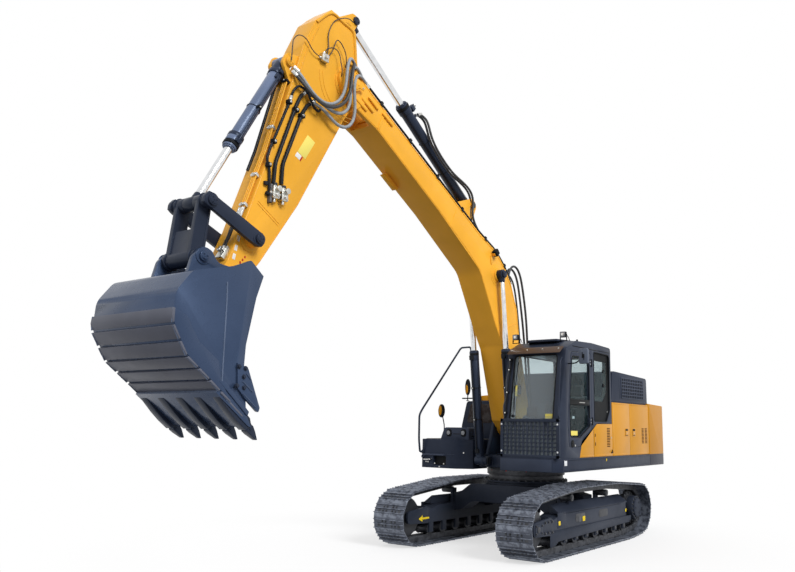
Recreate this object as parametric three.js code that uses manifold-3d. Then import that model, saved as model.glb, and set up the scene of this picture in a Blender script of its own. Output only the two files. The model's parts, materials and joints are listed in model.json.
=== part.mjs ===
// Crawler excavator with a raised boom, as separate pieces on their real pivots.
// Millimetres, +X forward, +Y to the machine's left, +Z up. Everything is laid out from the
// slew axis on the ground, and the last lines move the origin under the middle of the whole.
import * as THREE from 'three';
import { mergeVertices } from 'three/addons/utils/BufferGeometryUtils.js';
import Module from 'manifold-3d';

const wasm = await Module();
wasm.setup();

// ---------------------------------------------------------------- driving dimensions
const SEAT = 0.3; // gap between pieces that rest on each other
const RUNNING = 5; // side gap between pieces that swing past each other

// undercarriage
const TRACK_CENTRE_X = 100; // middle of the tracks ahead of the slew axis
const GAUGE = 2260; // between the two track centre lines
const SHOE_WIDTH = 600;
const SHOE_COUNT = 47;
const SHOE_PLATE = 12;
const GROUSER = 26; // grouser height above the shoe plate
const PIN_TO_SHOE = 45; // chain pin to the inner face of the shoe
const PIN_TO_RAIL = 50; // chain pin to the rail that the rollers run on
const CHAIN_WIDTH = 190;
const LINK_SAG = 9; // room for a link that bends over a roller
const IDLER_PITCH_RADIUS = 357;
const SPROCKET_PITCH_RADIUS = 357;
const SPROCKET_TEETH = 21;
const SPROCKET_LIFT = 42; // sprocket above the level of the idler
const WHEEL_BASE = 3670; // idler axle to sprocket axle
const ROLLER_RADIUS = 85;
const CARRIER_RADIUS = 62;
const CARRIER_LIFT = 120; // carrier rollers' run above the idler's run
const ROLLER_COUNT = 8;
const FRAME_HALF_WIDTH = 150;

// slewing deck
const DECK_BOTTOM = 1218;
const DECK_TOP = 1424;
const DECK_HALF_WIDTH = 1440;
const DECK_FRONT = 860; // front of the middle of the deck, below the boom cylinders
const SLEW_RADIUS = 640;
const PANEL = 40; // thickness of doors and side panels

// cab
const CAB_LEFT = 1433;
const CAB_FRONT = 1470;
const CAB_REAR = -425;
const CAB_TOP = 3262;
const CAB_WALL = 60;
const GLASS = 6;
const DOOR_GAP = 6;
const PILLAR_X = 345; // pillar behind the door

// machinery behind the cab
const BAY_FRONT = -450;
const BAY_REAR = -2130;
const BAY_TOP = 2322;
const HOOD_TOP = 2850;
const BAY_WALL = 25;
const TAIL_RADIUS = 3380; // rear of the counterweight behind the slew axis

// boom, arm and bucket, with the angles of the parked pose above the level
const FOOT = [430, 1900];
const BOOM_LENGTH = 6330;
const BOOM_ANGLE = 43.78;
const BOOM_HALF = 225;
const ARM_LENGTH = 3398;
const ARM_ANGLE = -59.58;
const ARM_HALF = 160;
const BUCKET_ANGLE = 22.89;
const BUCKET_HALF = 660;
const EAR_IN = 262; // inner face of the bucket's ears
const EAR = 50; // thickness of the ears and links
const BUCKET_PLATE = 28;
const TOOTH_COUNT = 5;

// cylinders: base pin, rod pin, barrel and rod
const LIFT_BASE = [972, 1330];
const LIFT_Y = 312;
const LIFT_RADIUS = 76;
const LIFT_ROD = 46;
const LIFT_BARREL = 1822;
const LIFT_ROOM = 9; // between a boom cylinder's barrel and the cab
const CAB_RIGHT = LIFT_Y + LIFT_RADIUS + LIFT_ROOM;
const CROWD_RADIUS = 88;
const CROWD_ROD = 54;
const CROWD_BARREL = 2082;
const TIP_RADIUS = 78;
const TIP_ROD = 48;
const TIP_BARREL = 1480;

// ---------------------------------------------------------------- finishes
const finish = (color, roughness, metalness = 0) =>
  new THREE.MeshStandardMaterial({ color, roughness, metalness });
const amber = finish(0xe79a1c, 0.45);
const navy = finish(0x2c3446, 0.5);
const slate = finish(0x39445a, 0.5);
const iron = finish(0x23252b, 0.6, 0.4);
const chrome = finish(0xd9dde2, 0.15, 1);
const glazing = finish(0xa9c3c8, 0.05);
const rubber = finish(0x17181a, 0.85);
const cushion = finish(0x2a2b2f, 0.9);

// ---------------------------------------------------------------- making solids
const machine = new THREE.Group();

/** Turns a closed geometry into a solid that can be joined and cut. */
function solid(geometry) {
  geometry.deleteAttribute('normal');
  geometry.deleteAttribute('uv');
  const merged = mergeVertices(geometry, 1e-3);
  const mesh = { numProp: 3, vertProperties: merged.attributes.position.array, triVerts: merged.index.array };
  mesh.triVerts = Uint32Array.from(mesh.triVerts);
  return new wasm.Manifold(new wasm.Mesh(mesh));
}

const join = (...pieces) => pieces.reduce((all, piece) => all.add(piece));
const cut = (body, ...tools) => tools.reduce((rest, tool) => rest.subtract(tool), body);

/** A named mesh of a solid, placed in a frame of its own when one is given. */
function place(name, body, material, frame) {
  const made = body.getMesh();
  const geometry = new THREE.BufferGeometry();
  geometry.setAttribute('position', new THREE.BufferAttribute(made.vertProperties, 3));
  geometry.setIndex(new THREE.BufferAttribute(made.triVerts, 1));
  const mesh = new THREE.Mesh(geometry, material);
  mesh.name = name;
  if (frame) {
    mesh.position.set(frame.origin[0], 0, frame.origin[1]);
    mesh.rotation.y = -frame.angle;
  }
  machine.add(mesh);
  return mesh;
}

/** A frame in the middle plane: its x axis leans up from the level by an angle in degrees. */
function frameAt(origin, degrees) {
  const angle = THREE.MathUtils.degToRad(degrees);
  const at = (x, z) => [
    origin[0] + x * Math.cos(angle) - z * Math.sin(angle),
    origin[1] + x * Math.sin(angle) + z * Math.cos(angle),
  ];
  return { origin, angle, at };
}

/** The frame whose x axis runs from one pin to another. */
function frameBetween(from, to) {
  const angle = Math.atan2(to[1] - from[1], to[0] - from[0]);
  return frameAt(from, THREE.MathUtils.radToDeg(angle));
}

const distance = (a, b) => Math.hypot(b[0] - a[0], b[1] - a[1]);

/** The outline of straight runs and arcs: [x, y] is a corner, [x, y, r] rounds it by r. */
function outline(points) {
  const shape = new THREE.Shape();
  const count = points.length;
  points.forEach(([x, y, r = 0], i) => {
    if (r === 0) {
      i === 0 ? shape.moveTo(x, y) : shape.lineTo(x, y);
      return;
    }
    const corner = new THREE.Vector2(x, y);
    const before = new THREE.Vector2(...points[(i + count - 1) % count].slice(0, 2)).sub(corner);
    const after = new THREE.Vector2(...points[(i + 1) % count].slice(0, 2)).sub(corner);
    const half = before.angleTo(after) / 2;
    const back = Math.min(r / Math.tan(half), 0.49 * Math.min(before.length(), after.length()));
    const start = before.normalize().multiplyScalar(back).add(corner);
    const end = after.normalize().multiplyScalar(back).add(corner);
    i === 0 ? shape.moveTo(start.x, start.y) : shape.lineTo(start.x, start.y);
    shape.quadraticCurveTo(x, y, end.x, end.y);
  });
  return shape;
}

const extrude = (shape, depth, curveSegments) =>
  new THREE.ExtrudeGeometry(shape, { depth, bevelEnabled: false, curveSegments });

/** A plate seen from the side: points are x and z, its faces are at yLow and yHigh. */
function sidePlate(points, yLow, yHigh, curveSegments = 2) {
  const geometry = extrude(outline(points), yHigh - yLow, curveSegments);
  geometry.rotateX(Math.PI / 2).translate(0, yHigh, 0);
  return solid(geometry);
}

/** A plate seen from above: points are x and y. */
function levelPlate(points, zLow, zHigh, curveSegments = 2) {
  const geometry = extrude(outline(points), zHigh - zLow, curveSegments);
  geometry.translate(0, 0, zLow);
  return solid(geometry);
}

/** A plate seen from the front: points are y and z. */
function frontPlate(points, xLow, xHigh, curveSegments = 2) {
  const geometry = extrude(outline(points), xHigh - xLow, curveSegments);
  const turn = new THREE.Matrix4().set(0, 0, 1, xLow, 1, 0, 0, 0, 0, 1, 0, 0, 0, 0, 0, 1);
  return solid(geometry.applyMatrix4(turn));
}

/** A block between two opposite corners. */
function block(x, y, z) {
  const geometry = new THREE.BoxGeometry(x[1] - x[0], y[1] - y[0], z[1] - z[0]);
  geometry.translate((x[0] + x[1]) / 2, (y[0] + y[1]) / 2, (z[0] + z[1]) / 2);
  return solid(geometry);
}

/** A round bar between two points in space. */
function bar(from, to, radius, sides = 12) {
  const start = new THREE.Vector3(...from);
  const along = new THREE.Vector3(...to).sub(start);
  const geometry = new THREE.CylinderGeometry(radius, radius, along.length(), sides);
  const up = new THREE.Vector3(0, 1, 0);
  geometry.applyQuaternion(new THREE.Quaternion().setFromUnitVectors(up, along.clone().normalize()));
  geometry.translate(...start.addScaledVector(along, 0.5).toArray());
  return solid(geometry);
}

/** A round boss across the machine at x, z. */
const crossBar = ([x, z], yLow, yHigh, radius, sides = 16) => bar([x, yLow, z], [x, yHigh, z], radius, sides);

/** The same solid on both sides of the middle plane. */
const bothSides = (make) => join(make(1), make(-1));
const span = (side, near, far) => (side > 0 ? [near, far] : [-far, -near]);

/** A round tube bent along a run of points. */
function bentTube(points, radius, bend = 80) {
  const path = new THREE.CurvePath();
  const corners = points.map((p) => new THREE.Vector3(...p));
  let last = corners[0];
  for (let i = 1; i < corners.length - 1; i++) {
    const into = corners[i].clone().sub(corners[i - 1]).normalize();
    const out = corners[i + 1].clone().sub(corners[i]).normalize();
    const start = corners[i].clone().addScaledVector(into, -bend);
    const end = corners[i].clone().addScaledVector(out, bend);
    path.add(new THREE.LineCurve3(last, start));
    path.add(new THREE.QuadraticBezierCurve3(start, corners[i], end));
    last = end;
  }
  path.add(new THREE.LineCurve3(last, corners[corners.length - 1]));
  const section = new THREE.Shape();
  section.absarc(0, 0, radius, 0, Math.PI * 2);
  const steps = 4 * (points.length - 1);
  return solid(new THREE.ExtrudeGeometry(section, { steps, extrudePath: path, curveSegments: 3 }));
}

// ---------------------------------------------------------------- undercarriage
const PITCH_LINE = SHOE_PLATE + GROUSER + PIN_TO_SHOE; // chain pins above the ground
const IDLER = [TRACK_CENTRE_X + WHEEL_BASE / 2, PITCH_LINE + IDLER_PITCH_RADIUS];
const SPROCKET = [TRACK_CENTRE_X - WHEEL_BASE / 2, PITCH_LINE + SPROCKET_PITCH_RADIUS + SPROCKET_LIFT];
const ROLLER_Z = PITCH_LINE + PIN_TO_RAIL + ROLLER_RADIUS;
const ROLLER_RUN = WHEEL_BASE - 1060; // first roller to last roller
const CARRIER_Z = IDLER[1] + IDLER_PITCH_RADIUS + CARRIER_LIFT - PIN_TO_RAIL - CARRIER_RADIUS;
const carrierX = [TRACK_CENTRE_X + 620, TRACK_CENTRE_X - 700];
const rollerX = (i) => TRACK_CENTRE_X + ROLLER_RUN * (0.5 - i / (ROLLER_COUNT - 1));

/** The closed line of the chain's pins: the tight loop round wheels given counterclockwise. */
function chainLine() {
  const wheel = (x, z, r) => ({ x, z, r });
  const run = PIN_TO_RAIL;
  const wheels = [
    wheel(IDLER[0], IDLER[1], IDLER_PITCH_RADIUS),
    wheel(carrierX[0], CARRIER_Z, CARRIER_RADIUS + run),
    wheel(carrierX[1], CARRIER_Z, CARRIER_RADIUS + run),
    wheel(SPROCKET[0], SPROCKET[1], SPROCKET_PITCH_RADIUS),
    wheel(rollerX(ROLLER_COUNT - 1), ROLLER_Z, ROLLER_RADIUS + run),
    wheel(rollerX(0), ROLLER_Z, ROLLER_RADIUS + run),
  ];
  const line = new THREE.CurvePath();
  const tangent = wheels.map((a, i) => {
    const b = wheels[(i + 1) % wheels.length];
    const heading = Math.atan2(b.z - a.z, b.x - a.x);
    return heading - Math.PI / 2 + Math.asin((b.r - a.r) / Math.hypot(b.x - a.x, b.z - a.z)) * -1;
  });
  const touch = (w, angle) => new THREE.Vector2(w.x + w.r * Math.cos(angle), w.z + w.r * Math.sin(angle));
  wheels.forEach((w, i) => {
    const into = tangent[(i + wheels.length - 1) % wheels.length];
    const out = tangent[i];
    line.add(new THREE.EllipseCurve(w.x, w.z, w.r, w.r, into, out, false));
    const next = wheels[(i + 1) % wheels.length];
    line.add(new THREE.LineCurve(touch(w, out), touch(next, out)));
  });
  return line;
}

/** A loop that runs beside the chain line, stepped once for each point of a shoe's profile. */
function loopShape(line, profile) {
  const points = [];
  for (let shoe = 0; shoe < SHOE_COUNT; shoe++) {
    const ends = [shoe, shoe + 1].map((n) => line.getPointAt((n / SHOE_COUNT) % 1));
    const along = ends[1].clone().sub(ends[0]);
    const outward = new THREE.Vector2(along.y, -along.x).normalize();
    for (const [share, height] of profile) {
      points.push(ends[0].clone().addScaledVector(along, share).addScaledVector(outward, height));
    }
  }
  return points;
}

function extrudeLoop(outer, inner, halfWidth) {
  const shape = new THREE.Shape(outer);
  shape.holes.push(new THREE.Path(inner));
  const geometry = extrude(shape, halfWidth * 2, 1);
  return solid(geometry.rotateX(Math.PI / 2).translate(0, halfWidth, 0));
}

/** One crawler track: shoes with their grousers outside, the narrower chain inside. */
function track() {
  const line = chainLine();
  const plate = PIN_TO_SHOE + SHOE_PLATE;
  const tip = plate + GROUSER;
  const shoes = loopShape(line, [[0.03, PIN_TO_SHOE + 2], [0.03, tip], [0.94, plate], [0.94, PIN_TO_SHOE + 2]]);
  const shoeInside = loopShape(line, [[0.5, PIN_TO_SHOE]]);
  const chainOutside = loopShape(line, [[0.5, PIN_TO_SHOE + 1]]);
  const chainInside = loopShape(line, [[0, -PIN_TO_RAIL], [0.5, -PIN_TO_RAIL]]);
  return join(
    extrudeLoop(shoes, shoeInside, SHOE_WIDTH / 2),
    extrudeLoop(chainOutside, chainInside, CHAIN_WIDTH / 2),
  );
}

/** The long box beam of one track, with its idler yoke, drive plate and rollers. */
function trackFrame() {
  const front = IDLER[0];
  const rear = SPROCKET[0];
  const top = CARRIER_Z - CARRIER_RADIUS - 150;
  const low = ROLLER_Z + ROLLER_RADIUS + 22;
  const beam = [
    [rear + 430, low], [front - 430, low], [front - 345, IDLER[1] - 110], [front - 345, IDLER[1] + 150],
    [front - 520, top - 60], [front - 760, top], [rear + 700, top], [rear + 430, IDLER[1] + 190],
  ];
  const yoke = (side) => sidePlate([
    [front - 420, IDLER[1] - 120, 20], [front + 120, IDLER[1] - 95, 60], [front + 120, IDLER[1] + 95, 60],
    [front - 420, IDLER[1] + 140, 20],
  ], ...span(side, 118, FRAME_HALF_WIDTH + 15));
  const driveMount = sidePlate([
    [rear + 520, low, 30], [rear + 520, IDLER[1] + 180, 30], [rear + 60, SPROCKET[1] + 200, 120],
    [rear - 190, SPROCKET[1], 160], [rear + 60, SPROCKET[1] - 200, 120],
  ], -FRAME_HALF_WIDTH - 20, -118);
  const rollers = Array.from({ length: ROLLER_COUNT }, (_, i) => roller(rollerX(i), low));
  const carriers = carrierX.map((x) => carrier(x, top));
  return join(sidePlate(beam, -FRAME_HALF_WIDTH, FRAME_HALF_WIDTH), bothSides(yoke), driveMount, ...rollers,
    ...carriers);
}

/** A bottom roller, with the two brackets that hang it from the beam. */
function roller(x, beamBottom) {
  const atEnd = Math.abs(x - TRACK_CENTRE_X) > ROLLER_RUN / 2 - 1;
  const radius = ROLLER_RADIUS - (atEnd ? LINK_SAG : SEAT);
  const wheel = crossBar([x, ROLLER_Z], -115, 115, radius, 10);
  const bracket = (side) => block([x - 55, x + 55], span(side, 112, 148), [ROLLER_Z - 45, beamBottom + 5]);
  return join(wheel, bothSides(bracket));
}

/** A carrier roller on the stub of its bracket above the beam. */
function carrier(x, beamTop) {
  const wheel = crossBar([x, CARRIER_Z], -90, 110, CARRIER_RADIUS - LINK_SAG, 10);
  const bracket = block([x - 60, x + 60], [-128, -84], [beamTop - 5, CARRIER_Z + 30]);
  return join(wheel, bracket);
}

/** How far the straight links cut inside the round line of their pins, on a wheel. */
const railRadius = (pitchRadius) => Math.sqrt(pitchRadius ** 2 - (chainLine().getLength() / SHOE_COUNT / 2) ** 2) - PIN_TO_RAIL;

/** The front idler wheel with the ends of its axle, which the yoke holds. */
function idler() {
  const tread = railRadius(IDLER_PITCH_RADIUS) - SEAT;
  const wheel = crossBar(IDLER, -80, 80, tread - 22, 28);
  const flange = crossBar(IDLER, -52, 52, tread, 28);
  return join(wheel, flange, crossBar(IDLER, -118 + SEAT, 118 - SEAT, 60, 12));
}

/** The drive sprocket with the drum of its travel drive. */
function sprocket() {
  const rim = railRadius(SPROCKET_PITCH_RADIUS) - SEAT;
  const drum = crossBar(SPROCKET, -118 + SEAT, 175, 205, 24);
  const cover = crossBar(SPROCKET, 170, 205, 165, 24);
  const teeth = Array.from({ length: SPROCKET_TEETH * 2 }, (_, i) => {
    const angle = (i / SPROCKET_TEETH) * Math.PI;
    const radius = i % 2 ? rim - 38 : rim;
    return [SPROCKET[0] + radius * Math.cos(angle), SPROCKET[1] + radius * Math.sin(angle)];
  });
  return join(drum, cover, sidePlate(teeth, -34, 34));
}

/** The middle of the undercarriage: a ring on two arched cross beams between the track frames. */
function carbody() {
  const inner = GAUGE / 2 - FRAME_HALF_WIDTH - SEAT;
  const arch = [
    [-inner, 470], [-inner + 160, 500, 60], [-620, 640, 200], [620, 640, 200], [inner - 160, 500, 60],
    [inner, 470], [inner, 760], [inner - 160, 800, 100], [640, 930, 150], [-640, 930, 150],
    [-inner + 160, 800, 100], [-inner, 760],
  ];
  const beam = (side) => {
    const [low, high] = side > 0 ? [430, 760] : [-560, -230];
    return frontPlate(arch, low, high);
  };
  const drum = bar([0, 0, 640], [0, 0, 1000], SLEW_RADIUS + 40, 28);
  const belly = block([-480, 650], [-500, 500], [620, 900]);
  return join(bothSides(beam), drum, belly);
}

function slewRing() {
  const lower = bar([0, 0, 1000 + SEAT], [0, 0, 1090], SLEW_RADIUS, 28);
  const upper = bar([0, 0, 1085], [0, 0, DECK_BOTTOM - SEAT], SLEW_RADIUS + 30, 28);
  return join(lower, upper);
}

// ---------------------------------------------------------------- slewing deck and bodywork
/** The deck, its boom ears and the lugs of the boom cylinders. */
function slewingFrame() {
  const plan = [
    [BAY_REAR, -DECK_HALF_WIDTH], [500, -DECK_HALF_WIDTH], [500, -400], [DECK_FRONT, -400],
    [DECK_FRONT, CAB_RIGHT], [1511, CAB_RIGHT], [1511, 1310], [1400, CAB_LEFT], [BAY_REAR, DECK_HALF_WIDTH],
  ];
  const ear = (side) => sidePlate([
    [FOOT[0] - 860, DECK_TOP - 10], [FOOT[0] + 420, DECK_TOP - 10], [FOOT[0] + 210, FOOT[1] + 40, 60],
    [FOOT[0] + 60, FOOT[1] + 190, 100], [FOOT[0] - 170, FOOT[1] + 150, 120], [FOOT[0] - 700, DECK_TOP + 140, 60],
  ], ...span(side, BOOM_HALF + 20, BOOM_HALF + 75));
  const lug = (side) => sidePlate([
    [DECK_FRONT - 150, DECK_BOTTOM + 20], [LIFT_BASE[0] - 20, LIFT_BASE[1] - 85, 40],
    [LIFT_BASE[0] + 80, LIFT_BASE[1] - 60, 60], [LIFT_BASE[0] + 80, LIFT_BASE[1] + 60, 60],
    [DECK_FRONT - 150, DECK_TOP - 10],
  ], ...span(side, 150, LIFT_Y - LIFT_RADIUS - 2));
  return join(levelPlate(plan, DECK_BOTTOM, DECK_TOP), bothSides(ear), bothSides(lug));
}

function counterweight() {
  const front = BAY_REAR - SEAT;
  const plan = [
    [front, -DECK_HALF_WIDTH], [front, DECK_HALF_WIDTH], [-2900, DECK_HALF_WIDTH, 200],
    [-TAIL_RADIUS, 900, 260], [-TAIL_RADIUS, -900, 260], [-2900, -DECK_HALF_WIDTH, 200],
  ];
  const side = [
    [front, DECK_BOTTOM], [front, BAY_TOP + 30, 20], [-TAIL_RADIUS + 160, BAY_TOP - 5, 120],
    [-TAIL_RADIUS, BAY_TOP - 160, 100], [-TAIL_RADIUS, DECK_BOTTOM + 120, 80], [-TAIL_RADIUS + 120, DECK_BOTTOM, 80],
  ];
  return levelPlate(plan, DECK_BOTTOM, BAY_TOP + 30).intersect(
    sidePlate(side, -DECK_HALF_WIDTH - 10, DECK_HALF_WIDTH + 10));
}

/** The drive unit under the hood, as one plain block. */
const powerBlock = () => block([-1950, -750], [-560, 560], [DECK_TOP + SEAT, 2200]);

/** Walls and roof round the machinery, open at both sides where the doors close. */
function machineryShell() {
  const y = CAB_LEFT - PANEL - SEAT;
  const z = [DECK_TOP + SEAT, BAY_TOP];
  const outer = block([BAY_REAR + SEAT, BAY_FRONT], [-y, y], z);
  const room = block([BAY_REAR - 1, BAY_FRONT - BAY_WALL], [-y - 1, y + 1], [DECK_TOP - 1, BAY_TOP - BAY_WALL]);
  const post = (side) => block([-1225, -1190], span(side, y - 60, y), z);
  const rear = block([BAY_REAR + SEAT, BAY_REAR + BAY_WALL], [-y, y], z);
  return join(cut(outer, room), bothSides(post), rear);
}

/** The raised hood over the cooling pack, hollow below. */
function hood() {
  const side = [
    [-2195, BAY_TOP + 35, 10], [-535, BAY_TOP + 35, 10], [-575, HOOD_TOP + 20, 90], [-2185, HOOD_TOP - 30, 60],
  ];
  const skin = sidePlate(side, -950, 1385);
  const inside = block([-2160, -620], [-915, 1350], [BAY_TOP - 10, HOOD_TOP - 60]);
  const foot = block([-2120, -520], [-950, 1385], [BAY_TOP + SEAT, BAY_TOP + 40]);
  return cut(join(skin, foot), inside);
}

/** The yellow cover along the right side, behind the tank. */
function rightCover() {
  const face = [
    [-1433, BAY_TOP + SEAT], [-960, BAY_TOP + SEAT], [-960, 2480, 30], [-1400, 2450, 60],
  ];
  return frontPlate(face, BAY_REAR + 5, BAY_FRONT - 15);
}

const sideDoor = (side, x, z) => block(x, span(side, CAB_LEFT - PANEL, CAB_LEFT), z);
const DOOR_Z = [DECK_TOP + SEAT, BAY_TOP];
const SEAM_X = [295, BAY_FRONT + 6, -1210];
const STEP_TOP = 1955;

/** The low yellow panel under the cab's rear window, slanted at its front. */
const stepPanel = () => sidePlate([
  [SEAM_X[0] + 3, DECK_TOP + SEAT], [828, DECK_TOP + SEAT], [728, 1681, 20], [SEAM_X[0] + 3, 1880],
], CAB_LEFT - PANEL, CAB_LEFT);

const leftFrontDoor = () => sidePlate([
  [SEAM_X[1] + 3, DECK_TOP + SEAT], [SEAM_X[0] - 3, DECK_TOP + SEAT], [SEAM_X[0] - 3, 1884],
  [157, STEP_TOP - 5, 40], [SEAM_X[1] + 3, STEP_TOP],
], CAB_LEFT - PANEL, CAB_LEFT);

/** The tank behind the steps on the right. */
function tank() {
  const face = [
    [-1432, DECK_TOP + SEAT], [-430, DECK_TOP + SEAT], [-430, 2345, 40], [-1290, 2345, 60], [-1400, 1900, 80],
  ];
  return frontPlate(face, BAY_FRONT + 5, -50);
}

const TOOLBOX = { x: [500 + SEAT, 1100], y: [-1460, -480], z: [1177, 1659] };

/** The box with the steps on the right front corner, hollow under its lid. */
function toolbox() {
  const plan = [
    [TOOLBOX.x[0], TOOLBOX.y[0], 40], [TOOLBOX.x[1], TOOLBOX.y[0], 60], [TOOLBOX.x[1], -740],
    [TOOLBOX.x[1] - 160, TOOLBOX.y[1]], [TOOLBOX.x[0], TOOLBOX.y[1]],
  ];
  const body = levelPlate(plan, ...TOOLBOX.z);
  const inside = levelPlate([
    [560, -1090], [TOOLBOX.x[1] - 60, -1090], [TOOLBOX.x[1] - 60, -700], [TOOLBOX.x[1] - 130, -590], [560, -590],
  ], 1260, 1700);
  const toeHole = block([1030, 1101], [-1200, -930], [1225, 1375]);
  const upperStep = block([0, TOOLBOX.x[0] + 10], [-1432, -430], [DECK_TOP + SEAT, 1659]);
  return cut(join(body, upperStep), inside, toeHole);
}

/** The lid of the toolbox, which carries the front lamps. */
function toolboxLid() {
  const face = [
    [-1130, 1659 + SEAT], [-545, 1659 + SEAT], [-545, 1860, 40], [-1050, 1860, 60],
  ];
  const lid = frontPlate(face, 535, 985);
  const hollow = block([575, 945], [-1040, -585], [1650, 1820]);
  const lamp = (y) => bar([980, y, 1770], [1012, y, 1770], 38, 12);
  return join(cut(lid, hollow), lamp(-950), lamp(-650));
}

function rightHandrail() {
  const y = -1443;
  const front = TOOLBOX.x[1];
  return bentTube([
    [front + SEAT, y + 20, 1440], [front + 55, y, 1440], [front + 90, y, 1650], [front + 95, y, 2060],
    [front + 30, y, 2150], [-60, y, 3350], [-390, y, 3395], [-420, y + 40, 2900], [-420, -1250, 2480],
    [-420, -1250, 2345 + SEAT],
  ], 18, 40);
}

/** A mirror head on its arm. */
function mirror(head, size, root, elbow) {
  const [x, y, z] = head;
  const face = [
    [y - size[0] / 2, z - size[1] / 2, 30], [y + size[0] / 2, z - size[1] / 2, 30],
    [y + size[0] / 2, z + size[1] / 2, 30], [y - size[0] / 2, z + size[1] / 2, 30],
  ];
  return join(frontPlate(face, x - 30, x + 25), bentTube([root, elbow, head], 10, 20));
}

// ---------------------------------------------------------------- cab
/** The cab's side outline, moved inwards by an inset. */
const cabSide = (inset) => [
  [CAB_REAR + inset, DECK_TOP + SEAT + inset], [1440 - inset, DECK_TOP + SEAT + inset],
  [CAB_FRONT - inset, 1950, 60], [1270 - inset, 3090 - inset, 50], [930 - inset, 3240 - inset, 60],
  [330, CAB_TOP - inset], [-420 + inset, 3240 - inset, 60], [CAB_REAR + 10 + inset, 3050, 60],
];

/** The cab from above, rounded at its front corners. */
const cabPlan = (inset) => [
  [CAB_REAR - 20, CAB_RIGHT + inset], [CAB_FRONT + 20 - inset, CAB_RIGHT + inset, 110],
  [CAB_FRONT + 20 - inset, CAB_LEFT - inset, 160], [CAB_REAR - 20, CAB_LEFT - inset],
];

/** The door opening, seen from the side, moved inwards by a clearance. */
const doorOutline = (c) => [
  [PILLAR_X + 40 + c, 1868 + c, 20], [715 + c / 2, 1716 + c, 30], [800 + c / 2, 1590 + c, 30], [1190 - c, 1590 + c, 40],
  [1235 - c, 1950], [1105 - c, 3060 - c, 60], [PILLAR_X + 40 + c, 3090 - c, 60],
];

const windscreenOutline = (c) => [
  [CAB_RIGHT + 130 + c, 1560 + c, 50], [CAB_LEFT - 130 - c, 1560 + c, 50], [CAB_LEFT - 130 - c, 3010 - c, 60],
  [CAB_RIGHT + 130 + c, 3010 - c, 60],
];

const rearSideOutline = (c) => [
  [PILLAR_X - 80 - c, 1990 + c, 20], [PILLAR_X - 80 - c, 3120 - c, 40], [-345 + c, 3110 - c, 60],
  [-345 + c, 2180, 40], [-210, 1990 + c, 20],
];

const rightWindowOutline = (c) => [
  [1160 - c, 1900 + c, 40], [1040 - c, 3040 - c, 60], [-300 + c, 3040 - c, 60], [-300 + c, 1900 + c, 40],
];

const rearWindowOutline = (c) => [
  [CAB_RIGHT + 130 + c, 2420 + c, 50], [CAB_LEFT - 130 - c, 2420 + c, 50], [CAB_LEFT - 130 - c, 3080 - c, 50],
  [CAB_RIGHT + 130 + c, 3080 - c, 50],
];

const roofWindowOutline = (c) => [
  [150 + c, CAB_RIGHT + 230 + c, 40], [700 - c, CAB_RIGHT + 230 + c, 40], [700 - c, CAB_LEFT - 230 - c, 40],
  [150 + c, CAB_LEFT - 230 - c, 40],
];

/** Where the yellow panels lie against the cab, with their clearance. */
const panelRecess = [
  [CAB_REAR - 30, DECK_TOP - 10], [832, DECK_TOP - 10], [732, 1684], [161, STEP_TOP + 3], [CAB_REAR - 30, STEP_TOP + 3],
];

/** The cab shell: one wall all round, with its window and door openings cut through. */
function cabShell() {
  const wide = [CAB_RIGHT - 10, CAB_LEFT + 10];
  const form = (inset) => sidePlate(cabSide(inset), ...wide).intersect(levelPlate(cabPlan(inset), 1300, 3400));
  return cut(
    form(0), form(CAB_WALL),
    frontPlate(windscreenOutline(0), 1000, 1600),
    sidePlate(doorOutline(0), CAB_LEFT - 200, CAB_LEFT + 20),
    sidePlate(rearSideOutline(0), CAB_LEFT - 200, CAB_LEFT + 20),
    sidePlate(rightWindowOutline(0), CAB_RIGHT - 20, CAB_RIGHT + 200),
    frontPlate(rearWindowOutline(0), -600, -300),
    levelPlate(roofWindowOutline(0), 3100, 3400),
    sidePlate(panelRecess, CAB_LEFT - PANEL - SEAT, CAB_LEFT + 20),
  );
}

/** The raked front pane: a thin slice of the cab's own form. */
function windscreen() {
  const outer = sidePlate(cabSide(22), 0, 2000);
  const inner = sidePlate(cabSide(22 + GLASS), -10, 2010);
  const slice = frontPlate(windscreenOutline(SEAT), 1100, 1600);
  return cut(outer, inner).intersect(slice);
}

const DOOR_HINGE = [PILLAR_X + 25, CAB_LEFT + 11 + SEAT];

/** The door's skin with its two window openings; the same plate carries the latch. */
function cabDoor() {
  const leaf = sidePlate(doorOutline(DOOR_GAP), CAB_LEFT - PANEL, CAB_LEFT, 3);
  const upper = [
    [PILLAR_X + 105, 2310, 30], [1150, 2310, 30], [1062, 2990, 60], [PILLAR_X + 105, 3010, 60],
  ];
  const lower = [
    [PILLAR_X + 105, 1905, 30], [730, 1780, 40], [800, 1740, 40], [1140, 1740, 60], [1160, 2250, 30],
    [PILLAR_X + 105, 2250, 30],
  ];
  const hinge = (z) => join(
    bar([DOOR_HINGE[0], DOOR_HINGE[1], z - 60], [DOOR_HINGE[0], DOOR_HINGE[1], z + 60], 11, 8),
    block([DOOR_HINGE[0], DOOR_HINGE[0] + 90], [CAB_LEFT + SEAT, CAB_LEFT + 8], [z - 50, z + 50]),
    block([DOOR_HINGE[0] + 30, DOOR_HINGE[0] + 90], [CAB_LEFT - 1, CAB_LEFT + 8], [z - 50, z + 50]),
  );
  const skin = cut(leaf, sidePlate(upper, 1300, 1500, 3), sidePlate(lower, 1300, 1500, 3));
  return join(skin, hinge(1990), hinge(2930));
}

/** The glass of the door, behind the openings of its skin. */
const doorGlass = () => sidePlate([
  [PILLAR_X + 80, 1890, 20], [722, 1755, 30], [785, 1715, 30], [1165, 1715, 40], [1185, 2050], [1080, 3030, 60],
  [PILLAR_X + 80, 3045, 60],
], CAB_LEFT - PANEL - GLASS - SEAT, CAB_LEFT - PANEL - SEAT, 3);

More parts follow.
